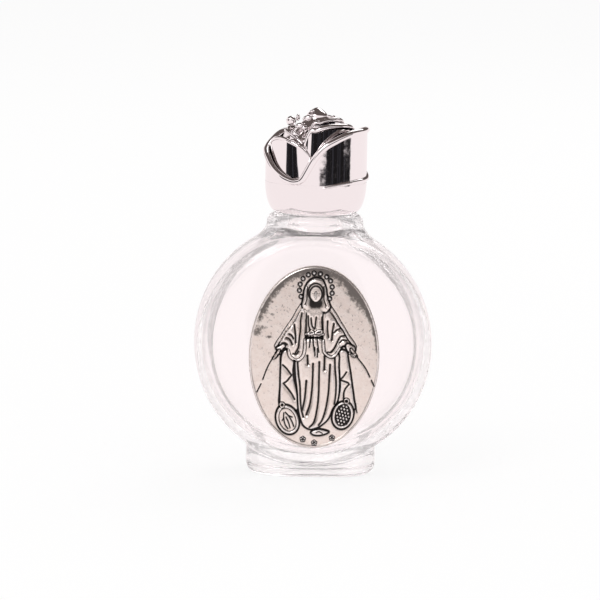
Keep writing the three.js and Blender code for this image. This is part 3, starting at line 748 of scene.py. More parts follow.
def petal_section(root, rim, swell, lip, base, height, full):
    """Reach and height of a petal's closed section, where full is 1, or less near the petal's ends."""
    s = np.linspace(0, 1, section_samples)
    reach = (root + (rim - root) * s + swell * np.sin(np.pi * s) + lip * s**6) * band_radius
    level = band_top + (base + (height - base) * s) * bloom_height
    step = np.hypot(np.diff(reach), np.diff(level))
    from_tip = np.concatenate([np.cumsum(step[::-1])[::-1], [0]])
    along = np.stack([np.gradient(reach), np.gradient(level)])
    along /= np.linalg.norm(along, axis=0)
    wall = petal_wall / 2
    round_turn = np.linspace(0, np.pi / 2, tip_stations)
    wall_shares = np.linspace(0.02, 1, wall_stations) ** 1.2
    stations = np.concatenate([wall * (1 - np.cos(round_turn)), wall + (from_tip[0] - wall) * wall_shares])
    order = slice(None, None, -1)
    pick = [np.interp(stations, from_tip[order], a[order]) for a in (reach, level, along[0], along[1])]
    half = np.sqrt(wall**2 - np.maximum(wall - stations, 0) ** 2) * full
    outward = pick[3] * half, -pick[2] * half
    middle = pick[0] - wall, pick[1]
    outside = np.stack([middle[0] + outward[0], middle[1] + outward[1]], axis=1)
    inside = np.stack([middle[0] - outward[0], middle[1] - outward[1]], axis=1)
    return np.concatenate([outside[::-1], inside[1:]])


# %% Petals and their rolled rims
ring_step = 1.6
least_wall = 0.05
roof_over_bore = 0.3 * mm
roll_sides = 14
roll_end_size = 0.2
roll_end_shape = 0.3
roll_end_reach = 0.4


def petal_foot(root, highest):
    """Where the wall of an inner petal starts: down in the core, but never inside the cap's bore."""
    if min(root) * band_radius - petal_wall < cap_bore:
        return (cap_bore_top + roof_over_bore - band_top) / bloom_height
    return 0.35 * highest - 0.12


def petal_piece(name, root, rim, swell, lip, bead, edge, foot=None):
    """The wall of a petal and the roll along its rim."""
    first, last = edge[0][0], edge[-1][0]
    angles = np.linspace(first, last, int((last - first) / ring_step))
    heights = height_through(edge, angles)
    if foot is None:
        foot = petal_foot(root, heights.max())
    rings = []
    rim_line = []
    for angle, height in zip(angles, heights):
        share = (angle - first) / (last - first)
        from_end = min(angle - first, last - angle) * math.radians(1) * rim[0] * band_radius
        full = math.sqrt(max(1 - max(1 - from_end / end_taper, 0) ** 2, 0.01))
        section = petal_section(
            root[0] + (root[1] - root[0]) * share, rim[0] + (rim[1] - rim[0]) * share, swell, lip,
            min(foot, height - least_wall), height, full,
        )
        turn = math.radians(angle)
        outward = np.array((math.sin(turn), -math.cos(turn), 0))
        rings.append(section[:, :1] * outward + section[:, 1:] * (0, 0, 1))
        size = (bead[0] + (bead[1] - bead[0]) * share) * mm
        rim_line.append(rings[-1][len(section) // 2] + (roll_out * outward - (0, 0, 1)) * size)
    rings = np.array(rings)
    wall = loft(name, rings, rings[0].mean(0), rings[-1].mean(0))
    return wall, rolled_rim(name + "_rim", np.array(rim_line), bead)


def rolled_rim(name, line, bead):
    """A round roll along a petal's rim, rounded off at its ends."""
    step = np.gradient(line, axis=0)
    step /= np.linalg.norm(step, axis=1)[:, None]
    outward = line * (1, 1, 0)
    outward -= (outward * step).sum(1)[:, None] * step
    outward /= np.linalg.norm(outward, axis=1)[:, None]
    upward = np.cross(outward, step)
    gone = np.linspace(0, 1, len(line))
    size = (bead[0] + (bead[1] - bead[0]) * gone) * mm
    size *= roll_end_size + (1 - roll_end_size) * np.clip(np.sin(np.pi * gone), 0, 1) ** roll_end_shape
    turns = np.linspace(0, 2 * np.pi, roll_sides, endpoint=False)
    rings = line[:, None] + size[:, None, None] * (
        np.cos(turns)[None, :, None] * outward[:, None] + np.sin(turns)[None, :, None] * upward[:, None])
    start = line[0] - roll_end_reach * size[0] * step[0]
    end = line[-1] + roll_end_reach * size[-1] * step[-1]
    return loft(name, rings, start, end)


def recalculate(piece):
    """Turns all faces outwards."""
    make_active(piece)
    bpy.ops.object.mode_set(mode="EDIT")
    bpy.ops.mesh.select_all(action="SELECT")
    bpy.ops.mesh.normals_make_consistent(inside=False)
    bpy.ops.object.mode_set(mode="OBJECT")


petal_pieces = [piece for i, petal in enumerate(petals) for piece in petal_piece(f"petal_{i + 1}", **petal)]
for piece in petal_pieces:
    recalculate(piece)
print("The petals have", sum(len(piece.data.polygons) for piece in petal_pieces), "faces")

# %% Band and core of the cap
# The core's outline, as shares of the band's radius and of the bloom's height.
core = [(0.985, -0.01), (0.94, 0.03), (0.88, 0.08), (0.84, 0.2), (0.78, 0.34), (0.7, 0.46), (0.62, 0.55),
        (0.54, 0.62), (0.46, 0.68), (0.36, 0.76), (0.26, 0.82), (0.215, 0.865), (0.2, 0.9), (0.155, 0.935),
        (0.1, 0.965), (0.05, 0.984), (0.01, 0.992)]
edge_reach = cap_bore + skirt_edge
skirt_reach = band_radius - edge_reach
bore = [(0.5 * cap_bore, cap_bore_top), (cap_bore, cap_bore_top)]
bore += [(cap_bore, z) for z in np.linspace(cap_bore_top, cap_bottom, 12)[1:]]
skirt = [(edge_reach + skirt_reach * math.sin(t), cap_bottom + band_height * (1 - math.cos(t)))
         for t in np.linspace(0, math.pi / 2, 24)]
core_line = line_through([(r * band_radius, band_top + h * bloom_height) for r, h in core], 4)
profile = np.array(bore + skirt + core_line.tolist())
turns = np.linspace(0, 2 * np.pi, 160, endpoint=False)
rings = np.stack([profile[:, :1] * np.sin(turns), -profile[:, :1] * np.cos(turns),
                  profile[:, 1:] + 0 * turns], axis=2)
rose = loft("rose_cap", rings, (0, 0, cap_bore_top), (0, 0, profile[-1][1]))
recalculate(rose)
print("Band and core have", len(rose.data.polygons), "faces")

# %% [markdown]
# At the left of the bloom some petals end in small round rolls, like the end of a scroll. Each is a sphere
# that is flattened to a button and set in its place at its own tilt. A modelled scroll would be too small
# to see.

# %% Rolled petal ends
# Each has its middle and its half sizes in mm, its tilt in the picture plane, and where its face looks:
# degrees to the right of the front, and degrees down.
curls = [
    ((-1.75, -3.5, 63.3), (0.95, 0.5, 0.5), 14, -14, 5),
    ((-3.15, -4.0, 62.0), (0.85, 0.5, 0.48), 10, -14, 5),
    ((-3.9, -4.7, 60.6), (0.75, 0.5, 0.42), -12, -14, 5),
    ((-4.6, -1.8, 62.6), (0.88, 0.7, 0.88), 0, -14, 5),
    ((-3.4, -0.9, 63.15), (0.35, 0.6, 0.6), 0, -14, 5),
    ((-2.3, -3.9, 61.55), (0.6, 0.6, 0.6), 0, 0, -38),
    ((-2.4, -5.2, 59.35), (0.5, 0.45, 0.3), 25, -14, 5),
    ((-0.95, -1.3, 64.3), (0.45, 0.4, 0.26), 8, -14, 5),
]
flatness = 2.8
for i, (middle, half, tilt, face_turn, face_down) in enumerate(curls):
    bpy.ops.object.select_all(action="DESELECT")
    bpy.ops.mesh.primitive_uv_sphere_add(segments=40, ring_count=24, radius=mm, rotation=(math.pi / 2, 0, 0))
    bpy.ops.object.transform_apply(rotation=True)
    curl = bpy.context.object
    curl.name = f"curl_{i + 1}"
    for vertex in curl.data.vertices:
        reach = min(math.hypot(vertex.co.x, vertex.co.z) / mm, 1)
        vertex.co.y = math.copysign(math.sqrt(1 - reach**flatness) * mm, vertex.co.y)
    curl.scale = half
    curl.rotation_euler = [math.radians(angle) for angle in (face_down, -tilt, face_turn)]
    curl.location = Vector(middle) * mm
    bpy.ops.object.transform_apply()
    petal_pieces.append(curl)
make_active(rose)
for piece in petal_pieces:
    piece.select_set(True)
bpy.ops.object.join()
print("The rose has", len(rose.data.polygons), "faces")

# %% [markdown]
# Chrome plate is a mirror over a cast surface. It is very smooth on the outside, with faint waves from the
# casting below it and the finest polishing marks. Narrow places between the petals are painted darker, as
# painted shade. Painting them by hand would have to be done again with each change of a petal, so the
# shader finds them by how open the surface is.

# %% Chrome
chrome_plate, sheet = new_material("chrome_plate")
crevice_reach = 0.6 * mm
waves = sheet.noise(260, detail=2)
grain = sheet.noise(5200, detail=2)
painted_crevice_shade = (0.05, 0.04, 0.038, 1)
chrome_bright = (0.93, 0.885, 0.89, 1)
settings = {"samples": 8, "only_local": True}
# Painted shade: the base colour goes dark where the surface is closed in, between the petals and round the
# rolls.
open_air = sheet.add("ShaderNodeAmbientOcclusion", settings, {"Distance": crevice_reach}, "AO")
sheet.surface(
    Base_Color=sheet.blend(open_air.smooth(0.08, 0.55), painted_crevice_shade, chrome_bright),
    Metallic=1.0,
    Roughness=0.035 + 0.05 * sheet.noise(1400).smooth(0.45, 0.8),
    Normal=sheet.bump(waves + 0.02 * grain, 0.05 * mm, 0.35),
)
smooth(rose, 38)
dress(rose, "rose_cap_shell", chrome_plate)

# %% [markdown]
# Four small pieces work out of sight, and three of them are round. The drip plug is soft plastic, pressed
# into the neck. The sealing disc is punched from foam, and the mouth has pressed a ring into it. The liner
# is a moulded cup with a thread inside. Each could be spun from a drawn profile. Here each starts as one
# ring, which is extruded and resized from one point of its profile to the next, because the next point is
# then always a plain step away.

# %% Turned pieces
turned_sides = 96


def turned(name, profile, bevel):
    """A turned piece from (reach, height) points in mm, with its corners bevelled."""
    bpy.ops.object.select_all(action="DESELECT")
    reach, height = profile[0]
    bpy.ops.mesh.primitive_circle_add(vertices=turned_sides, radius=reach * mm, location=(0, 0, height * mm))
    bpy.ops.object.transform_apply(location=True)
    piece = bpy.context.object
    piece.name = name
    bpy.ops.object.mode_set(mode="EDIT")
    bpy.ops.mesh.select_all(action="SELECT")
    for next_reach, next_height in profile[1:]:
        step = (0, 0, (next_height - height) * mm)
        bpy.ops.mesh.extrude_region_move(TRANSFORM_OT_translate={"value": step})
        share = next_reach / reach
        bpy.ops.transform.resize(value=(share, share, 1), center_override=(0, 0, next_height * mm))
        reach, height = next_reach, next_height
    bpy.ops.mesh.select_all(action="SELECT")
    bpy.ops.mesh.remove_doubles(threshold=0.002 * mm)
    bpy.ops.mesh.normals_make_consistent(inside=False)
    bpy.ops.object.mode_set(mode="OBJECT")
    bevel_edges(piece, bevel * mm, 3)
    return piece


def bevel_edges(piece, width, steps):
    """Rounds the sharp edges of the active piece."""
    modifier = piece.modifiers.new("edges", "BEVEL")
    modifier.width = width
    modifier.segments = steps
    modifier.limit_method = "ANGLE"
    bpy.ops.object.modifier_apply(modifier=modifier.name)


# A ring can't start at no width, so a disc's middle is a ring so narrow that its points are then merged.
axis = 0.0004
plug = turned("turned_plug", [
    (0.75, 54.0), (3.15, 54.0), (3.15, 49.4), (3.45, 49.4), (3.75, 50.0), (3.75, 52.0), (3.68, 52.2),
    (3.75, 52.4), (3.75, 54.4), (4.8, 54.4), (4.8, 54.9), (2.9, 54.9), (2.6, 54.72), (1.35, 54.72),
    (1.1, 54.9), (0.75, 54.9), (0.75, 54.0)], 0.06)
disc = turned("punched_disc", [
    (axis, 55.0), (4.3, 55.0), (4.45, 55.07), (4.95, 55.07), (5.1, 55.0), (5.9, 55.0), (5.9, 55.9),
    (axis, 55.9)], 0.09)
liner = turned("moulded_liner", [
    (axis, 56.0), (4.7, 56.0), (4.8, 56.06), (5.2, 56.06), (5.3, 56.0), (5.95, 56.0), (5.95, 47.4),
    (6.22, 46.85), (6.5, 46.85), (6.5, 56.6), (6.2, 56.9), (axis, 56.9)], 0.05)
for piece in (plug, disc, liner):
    print(piece.name, "has", len(piece.data.polygons), "faces")

# %% Thread of the liner
# It lies half a pitch under the neck's.
ridge_start, ridge_end = 0.12, 1.22
ridge_fade = 0.1
ridge_root = 5.99 * mm
ridge_turns = np.linspace(ridge_start, ridge_end, 80)
fade = np.clip(np.minimum(ridge_turns - ridge_start, ridge_end - ridge_turns) / ridge_fade, 0.08, 1)
ridge_middle = thread_start - thread_pitch / 2 + thread_pitch * ridge_turns
section = np.array([(5.99, 0.42), (5.4, 0.2), (5.36, 0.12), (5.36, -0.12), (5.4, -0.2), (5.99, -0.42)]) * mm
reach = ridge_root + (section[:, 0] - ridge_root) * fade[:, None]
height = ridge_middle[:, None] + section[:, 1]
angle = 2 * np.pi * ridge_turns[:, None]
rings = np.stack([reach * np.sin(angle), -reach * np.cos(angle), height], axis=2)
ridge = loft("liner_thread", rings, rings[0].mean(0), rings[-1].mean(0))
recalculate(ridge)
make_active(liner)
ridge.select_set(True)
bpy.ops.object.join()
print("With its thread the liner has", len(liner.data.polygons), "faces")

# %% [markdown]
# The glue is a thin clear layer between the medal and the glass. It is squeezed out to a rounded edge, and
# it keeps a few tiny bubbles. A flat cylinder with a bevelled edge has that shape, and the bubbles are left
# to the material.

# %% Glue pad
glue_low, glue_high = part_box("glue_pad")
glue_middle = (glue_low + glue_high) / 2
half = (glue_high - glue_low) / 2
bpy.ops.object.select_all(action="DESELECT")
bpy.ops.mesh.primitive_cylinder_add(vertices=96, radius=1, depth=2, rotation=(math.pi / 2, 0, 0))
bpy.ops.object.transform_apply(rotation=True)
glue = bpy.context.object
glue.name = "squeezed_glue"
glue.scale = half
glue.location = glue_middle
bpy.ops.object.transform_apply()
bevel_edges(glue, 0.09 * mm, 4)
print("The glue is", round(2 * half.y / mm, 2), "mm thick")

# %% [markdown]
# The plug is soft cloudy plastic, the disc is foam with fine cells, and the liner is harder and glossier.
# Flat colours would look like toys, so each has the marks of how it is made: turning lines, cells, flow and
# bubbles.

# %% Materials of the small pieces
natural_plastic, sheet = new_material("natural_plastic")
cloud = sheet.noise(500, detail=3)
turning = sheet.noise(6000, detail=2)
sheet.surface(
    Base_Color=sheet.blend(cloud, (0.86, 0.865, 0.85, 1), (0.93, 0.93, 0.92, 1)),
    Roughness=0.34 + 0.12 * cloud,
    IOR=1.51,
    Subsurface_Weight=0.3,
    Subsurface_Radius=(0.6 * mm, 0.6 * mm, 0.5 * mm),
    Normal=sheet.bump(turning, 0.02 * mm, 0.4),
)
seal_foam, sheet = new_material("seal_foam")
cells = sheet.add("ShaderNodeTexVoronoi", inputs={"Vector": sheet.place(), "Scale": 6500.0})
sheet.surface(
    Base_Color=sheet.blend(cells.smooth(0.1, 0.7), (0.78, 0.77, 0.73, 1), (0.9, 0.89, 0.86, 1)),
    Roughness=0.75 + 0.15 * sheet.noise(900),
    Normal=sheet.bump(cells, 0.04 * mm, 0.6),
)
liner_plastic, sheet = new_material("liner_plastic")
flow = sheet.noise(350, detail=2)
sheet.surface(
    Base_Color=sheet.blend(flow, (0.9, 0.9, 0.885, 1), (0.95, 0.95, 0.94, 1)),
    Roughness=0.22 + 0.16 * sheet.noise(1500),
    IOR=1.49,
    Coat_Weight=0.15,
    Normal=sheet.bump(sheet.noise(4200, detail=2), 0.015 * mm, 0.3),
)
clear_glue, sheet = new_material("clear_glue")
bubbles = sheet.add("ShaderNodeTexVoronoi", inputs={"Vector": sheet.place(), "Scale": 900.0})
sheet.surface(
    Base_Color=(0.96, 0.945, 0.91, 1),
    Roughness=0.12 + 0.3 * (1 - bubbles.smooth(0.06, 0.14)),
    IOR=1.46,
    Transmission_Weight=1.0,
    Normal=sheet.bump(bubbles.smooth(0.05, 0.2), 0.05 * mm, 0.5),
)
for piece, node, material, slot in (
        (plug, "drip_plug", natural_plastic, "natural_plastic"),
        (disc, "sealing_disc", seal_foam, "seal_foam"),
        (liner, "threaded_liner", liner_plastic, "liner_plastic"),
        (glue, "glue_pad", clear_glue, "clear_glue")):
    smooth(piece, 40)
    dress(piece, node, material)

# %% [markdown]
# The medal is a casting, and its picture is a low relief: layers of rounded forms, with folds pressed
# between them. A bump pattern would be flat from the side and wouldn't catch the light along a fold, so the
# relief is real. A sculptor builds it up on a plate, and the code does the same. A fine grid covers the
# oval, and each stroke lifts or lowers it: a form rises from its outline, a fold is a groove, a border is a
# ridge. Every stroke also says where the dark of the old silver finish stays, because that finish is wiped
# off everything that stands proud. u runs to the right and w up from the medal's middle, in millimetres.

# %% Relief tools
class Relief:
    """Heights of a relief, and its dark finish with painted shade, on points with places u and w."""

    def __init__(self, u, w):
        self.at = np.stack([u, w], axis=1)
        self.height = np.zeros(len(u))
        self.stain_and_shade = np.zeros(len(u))

    def distances(self, line, near):
        """Distances of the numbered points from the line."""
        start, step = line[:-1], np.diff(line, axis=0)
        off = self.at[near][:, None] - start[None]
        share = np.clip((off * step).sum(2) / np.maximum((step**2).sum(1), 1e-12), 0, 1)
        return np.linalg.norm(off - share[..., None] * step, axis=2).min(1)

    def around(self, line, reach):
        """Numbers of the points in the line's box, and their distances from the line."""
        low, high = line.min(0) - reach, line.max(0) + reach
        near = np.flatnonzero(((self.at > low) & (self.at < high)).all(1))
        return near, self.distances(line, near)

    def inside(self, line, near):
        """Whether the points lie inside the closed line."""
        u, w = self.at[near].T[:, :, None]
        (u0, w0), (u1, w1) = line[:-1].T, line[1:].T
        rise = np.where(w1 == w0, 1e-12, w1 - w0)
        crosses = ((w0 > w) != (w1 > w)) & (u < (u1 - u0) * (w - w0) / rise + u0)
        return crosses.sum(1) % 2 == 1

    def form(self, outline, top, rounding, folds=(), fold_width=0.4, fold_depth=0.5, base=0.0):
        """A rounded form inside an outline, with folds pressed into it and a dark line round it."""
        line = line_through(outline, 5, closed=True)
        line = np.concatenate([line, line[:1]])
        near, distance = self.around(line, 0.8)
        within = self.inside(line, near)
        shape = np.sqrt(1 - (1 - np.clip(distance / rounding, 0, 1)) ** 2)
        pleat = np.ones(len(near))
        dark = np.exp(-((distance / 0.1) ** 2))
        for fold in folds:
            gap = self.distances(line_through(fold, 5), near)
            pleat = np.minimum(pleat, 1 - fold_depth * np.exp(-((gap / fold_width) ** 2)))
            dark = np.maximum(dark, 1.1 * np.exp(-((gap / (0.5 * fold_width)) ** 2)))
        lifted = base + top * shape * pleat
        outside = self.height[near] - 0.1 * np.exp(-((distance / 0.24) ** 2))
        outer_dark = np.maximum(self.stain_and_shade[near], 1.2 * np.exp(-((distance / 0.24) ** 2)))
        self.height[near] = np.where(within, np.maximum(self.height[near], lifted), outside)
        self.stain_and_shade[near] = np.where(within, dark, outer_dark)

    def groove(self, places, width, depth, dark=1.0):
        """A dark stroke pressed along a smooth line."""
        near, distance = self.around(line_through(places, 5), 4 * width)
        pressed = np.exp(-((distance / width) ** 2))
        self.height[near] -= depth * pressed
        self.stain_and_shade[near] = np.maximum(self.stain_and_shade[near], dark * pressed)

    def ridge(self, places, half_width, top, closed=False):
        """A round cord with a dark line on both its sides."""
        line = line_through(places, 5, closed=closed)
        if closed:
            line = np.concatenate([line, line[:1]])
        near, distance = self.around(line, 4 * half_width)
        cord = np.sqrt(np.maximum(1 - (distance / half_width) ** 2, 0))
        beside = np.exp(-(((distance - half_width) / 0.14) ** 2)) * (distance > half_width)
        self.height[near] += top * cord - 0.06 * beside
        self.stain_and_shade[near] = np.maximum(self.stain_and_shade[near] * (1 - np.minimum(2 * cord, 1)), beside)

    def swelling(self, u, w, wide, tall, top):
        """A soft round swelling, or a hollow where top is below zero."""
        across, along = ((self.at - (u, w)) / (wide, tall)).T
        self.height += top * np.exp(-(across**2 + along**2))

    def bead(self, u, w, radius, top, ring=0.0):
        """A small dome with a dark line round it, and a dark ring on it where ring has a radius."""
        off = np.linalg.norm(self.at - (u, w), axis=1)
        dome = np.sqrt(np.maximum(1 - (off / radius) ** 2, 0))
        beside = np.exp(-(((off - radius) / 0.13) ** 2)) * (off > radius * 0.8)
        self.height += top * dome - 0.05 * beside
        self.stain_and_shade = np.maximum(self.stain_and_shade * (1 - np.minimum(3 * dome, 1)), beside)
        if ring:
            self.stain_and_shade = np.maximum(self.stain_and_shade, 0.7 * np.exp(-(((off - ring) / 0.07) ** 2)))


def soft_step(value, low, high):
    """0 below low, 1 above high, with a soft step between them."""
    t = np.clip((value - low) / (high - low), 0, 1)
    return t * t * (3 - 2 * t)


print("Halfway a soft step is", soft_step(0.5, 0, 1))


# %% Medal plate
medal_low, medal_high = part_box("front_medal")
medal_half_width = medal_high.x
medal_half_height = (medal_high.z - medal_low.z) / 2
medal_middle = (medal_high.z + medal_low.z) / 2
medal_back = medal_high.y
plate_thickness = 1.0 * mm
plate_dome = 0.35 * mm
rim_width = 0.42
rim_height = 0.22
flat_from = 0.65
edge_round = 0.2 * mm
grid_steps = 290
print("The medal is", round(2 * medal_half_width / mm, 1), "by", round(2 * medal_half_height / mm, 1), "mm")

# %% Grid of points on the medal
# Square rings of a flat grid are bent into oval ones, so the rim is one even line of points.
steps = np.linspace(-1, 1, grid_steps + 1)
a, b = (part.ravel() for part in np.meshgrid(steps, steps, indexing="ij"))
wide = np.abs(a) > np.abs(b)
safe_a, safe_b = np.where(a == 0, 1, a), np.where(b == 0, 1, b)
rho = np.where(wide, a, b)
phi = np.where(wide, np.pi / 4 * b / safe_a, np.pi / 2 - np.pi / 4 * a / safe_b)
half_u, half_w = medal_half_width / mm, medal_half_height / mm
face_share = 1 - edge_round / medal_half_width
u = face_share * half_u * rho * np.cos(phi)
w = face_share * half_w * rho * np.sin(phi)
# The dome brings the picture's middle forward, so the drawing is set a little higher there.
lift = np.interp(w, (-16, -11, -4, 0, 4, 14.4), (0.14, 0.27, 0.48, 0.64, 0.64, 0.4))
lift *= 1 - 0.9 * soft_step(np.abs(u), 4.6, 6.2) * soft_step(w, -3, 0)
relief = Relief(u, w - lift)
level = np.hypot(u / half_u, w / half_w)
slope = np.hypot(u / half_u**2, w / half_w**2) / np.maximum(level, 1e-6)
from_edge = (1 - level) / np.maximum(slope, 1e-6)
print("The grid has", len(u), "points")

# %% Figure: hanging bands
left_band = [(-5.7, 0.3), (-5.8, -2.3), (-5.8, -5.5), (-5.7, -9.2), (-2.8, -9.6), (-3.0, -6.4), (-3.7, -3.4),
             (-3.6, -0.8), (-4.6, 0.6)]
right_band = [(5.6, 0.9), (5.9, -0.4), (6.3, -2.7), (6.7, -5.3), (7.1, -7.8), (7.2, -9.4), (4.4, -8.2),
              (4.7, -5.6), (4.4, -2.6), (4.3, 0.3)]
relief.form(left_band, 0.3, 0.5, folds=[
    [(-5.5, -1.8), (-4.6, -2.8), (-3.9, -3.7)], [(-3.9, -3.7), (-4.7, -4.7), (-5.3, -5.1)],
    [(-5.3, -5.1), (-4.5, -6.0), (-3.8, -6.9), (-3.3, -7.8)]], fold_width=0.34, fold_depth=0.6)
relief.form(right_band, 0.3, 0.5, folds=[
    [(5.7, -3.0), (5.0, -4.0), (4.4, -4.3)], [(4.4, -4.3), (5.9, -4.8), (6.2, -5.1)],
    [(6.2, -5.1), (5.6, -5.8), (5.3, -6.6), (5.3, -7.5)]], fold_width=0.34, fold_depth=0.6)
print("The highest form so far stands", round(relief.height.max(), 2), "mm proud")

# %% Figure: gown
skirt_outline = [(-3.3, -0.6), (-3.2, -3.5), (-2.8, -6.5), (-2.6, -9.2), (-2.2, -11.0), (-1.7, -12.2),
                 (-0.6, -12.9), (0.6, -12.7), (1.6, -12.1), (2.7, -11.0), (3.4, -9.4), (4.2, -8.0),
                 (4.5, -5.5), (4.3, -2.0), (4.1, 0.4), (1.6, 2.6), (-1.6, 2.6), (-2.9, 0.6)]
skirt_folds = [
    [(-2.9, -1.6), (-2.7, -3.5), (-2.4, -5.4), (-2.3, -7.4), (-2.1, -9.4), (-1.7, -10.8)],
    [(-0.2, -1.7), (-0.2, -3.8), (-0.3, -6.2), (-0.6, -8.6), (-1.2, -10.4)],
    [(0.9, -1.4), (0.9, -4.3), (0.9, -6.6), (0.7, -9.2), (0.2, -11.6), (-0.6, -12.6)],
    [(2.8, -1.8), (2.7, -4.2), (2.6, -6.6), (2.2, -9.3), (1.6, -11.3), (1.0, -12.2)],
    [(3.6, -0.7), (3.7, -2.6), (3.9, -4.5), (3.9, -6.6), (3.7, -8.5)],
    [(-1.2, -0.3), (-1.1, -1.7)],
    [(1.8, -0.4), (1.8, -2.6)],
    [(-1.3, -4.6), (-1.5, -7.4), (-1.9, -9.6)],
]
relief.form(skirt_outline, 0.52, 0.9, folds=skirt_folds, fold_width=0.36, fold_depth=0.62)
torso = [(-1.9, 8.0), (-1.8, 5.4), (-1.5, 3.2), (1.4, 3.2), (1.6, 5.4), (1.7, 7.9), (0, 8.4)]
relief.form(torso, 0.62, 0.8, folds=[
    [(-0.7, 6.4), (-0.5, 5.1), (-0.1, 4.5)], [(0.2, 6.6), (0.1, 5.6), (0, 4.5)],
    [(1.2, 6.6), (1.2, 5.7), (1.4, 4.4)], [(-1.2, 6.8), (-1.1, 5.2), (-0.8, 4.2)]],
    fold_width=0.28, fold_depth=0.45)
print("The highest form so far stands", round(relief.height.max(), 2), "mm proud")

# %% Figure: sleeves
left_sleeve = [(-2.4, 8.2), (-3.3, 6.8), (-4.3, 5.0), (-5.4, 3.6), (-6.2, 2.3), (-5.7, 1.4), (-4.9, 1.0),
               (-4.5, 0.1), (-3.9, -0.8), (-3.1, -1.2), (-2.3, -0.8), (-1.8, 0.4), (-1.6, 2.6), (-1.6, 6.3),
               (-1.7, 7.9)]
relief.form(left_sleeve, 0.72, 0.9, folds=[
    [(-2.3, 7.4), (-2.5, 6.0), (-2.5, 4.4), (-2.7, 2.6), (-2.8, 1.2), (-3.3, 0.2)],
    [(-4.5, 3.5), (-4.0, 3.2), (-3.7, 2.7)], [(-5.0, 2.9), (-4.3, 2.5), (-3.9, 1.7)],
    [(-5.7, 2.3), (-5.2, 2.0), (-4.8, 1.6)], [(-2.8, 0.5), (-3.1, 0.0), (-3.7, 0.0)],
    [(-3.6, 5.2), (-3.4, 3.6), (-3.3, 2.0)]], fold_width=0.3, fold_depth=0.5)
right_sleeve = [(2.3, 8.1), (3.2, 6.8), (4.2, 5.1), (5.4, 3.5), (6.3, 2.4), (5.8, 1.9), (5.0, 1.6),
                (4.5, 0.9), (4.0, 0.1), (3.3, -0.5), (2.4, -0.4), (1.7, 0.3), (1.5, 2.0), (1.4, 4.2),
                (1.5, 7.6)]
relief.form(right_sleeve, 0.72, 0.9, folds=[
    [(2.2, 5.9), (2.2, 4.4), (2.4, 3.0)], [(3.3, 5.5), (3.1, 4.1), (3.0, 2.6)],
    [(4.4, 4.6), (3.8, 4.3), (3.3, 3.8)], [(5.2, 3.5), (4.4, 3.0), (3.9, 2.0), (3.4, 1.0), (2.9, 0.5)],
    [(5.6, 2.9), (4.9, 2.6), (4.3, 2.0)], [(3.4, 1.0), (3.0, 0.4), (2.3, 0.4)]],
    fold_width=0.3, fold_depth=0.5)
print("The highest form so far stands", round(relief.height.max(), 2), "mm proud")

# %% Figure: borders and belt
# Each border has its places, its half width and its height. The last two are the loops of the bow.
borders = [
    ([(-2.4, 8.6), (-3.0, 7.6), (-3.6, 6.4), (-4.4, 5.1), (-5.4, 3.9), (-6.2, 2.8), (-6.7, 1.9)],
     0.24, 0.26),
    ([(2.4, 8.5), (3.5, 6.9), (4.4, 5.4), (5.6, 3.9), (6.6, 2.6), (7.0, 1.9)], 0.32, 0.3),
    ([(-4.6, 0.6), (-4.2, -0.5), (-3.3, -1.1), (-2.5, -0.9), (-1.9, -0.1), (-1.7, 1.0), (-1.65, 2.6)],
     0.2, 0.2),
    ([(1.5, 2.4), (1.6, 1.0), (1.8, 0.3), (2.5, -0.3), (3.3, -0.4), (4.0, 0.3), (4.5, 1.1)], 0.2, 0.2),
    ([(-1.5, 3.5), (-0.6, 3.8), (-0.1, 3.7), (1.4, 3.5)], 0.22, 0.2),
    ([(-1.2, 3.6), (-0.6, 4.1), (-0.1, 3.8), (-0.6, 3.5)], 0.12, 0.16, True),
    ([(0.1, 3.8), (0.5, 4.1), (1.1, 4.2), (1.2, 3.8), (0.5, 3.7)], 0.12, 0.16, True),
]
for border in borders:
    relief.ridge(*border)
belt_ends = [
    [(-0.7, 3.1), (-0.9, 1.2)],
    [(-0.3, 3.2), (-0.2, 1.8), (0.0, 0.6)],
    [(0.4, 3.0), (0.6, 1.5), (0.8, 0.3)],
    [(0.05, 1.2), (0.1, -0.3)],
    [(0.5, 1.0), (0.55, -0.5)],
]
for belt_end in belt_ends:
    relief.groove(belt_end, 0.13, 0.16)
relief.groove([(-5.75, 0.1), (-5.85, -2.3), (-5.9, -5.5), (-5.8, -9.0)], 0.13, 0.06)
relief.groove([(6.0, 0.2), (6.4, -2.7), (6.8, -5.3), (7.2, -7.8), (7.7, -10.0)], 0.13, 0.06)
print("Drew", len(borders), "borders and", len(belt_ends), "ends of the belt")

# %% Figure: hands
hands = [
    (-1, (-5.6, 1.7), [(-0.75, -1.05), (-1.0, -1.55), (-1.25, -1.95), (-1.55, -2.1)]),
    (1, (5.9, 2.1), [(0.3, -1.35), (0.75, -1.75), (1.15, -1.9), (1.5, -1.85)]),
]
for side, (wrist_u, wrist_w), finger_ends in hands:
    palm_u, palm_w = wrist_u + side * 0.55, wrist_w - 0.55
    palm = [(wrist_u, wrist_w + 0.35), (palm_u + 0.55 * side, palm_w + 0.35), (palm_u + 0.5, palm_w - 0.55),
            (palm_u - 0.5, palm_w - 0.55), (wrist_u - 0.45 * side, wrist_w - 0.3)]
    relief.form(palm, 0.55, 0.4)
    for end_u, end_w in finger_ends:
        relief.ridge([(palm_u, palm_w), (wrist_u + end_u, wrist_w + end_w)], 0.16, 0.3)
print("Drew", len(hands), "open hands")
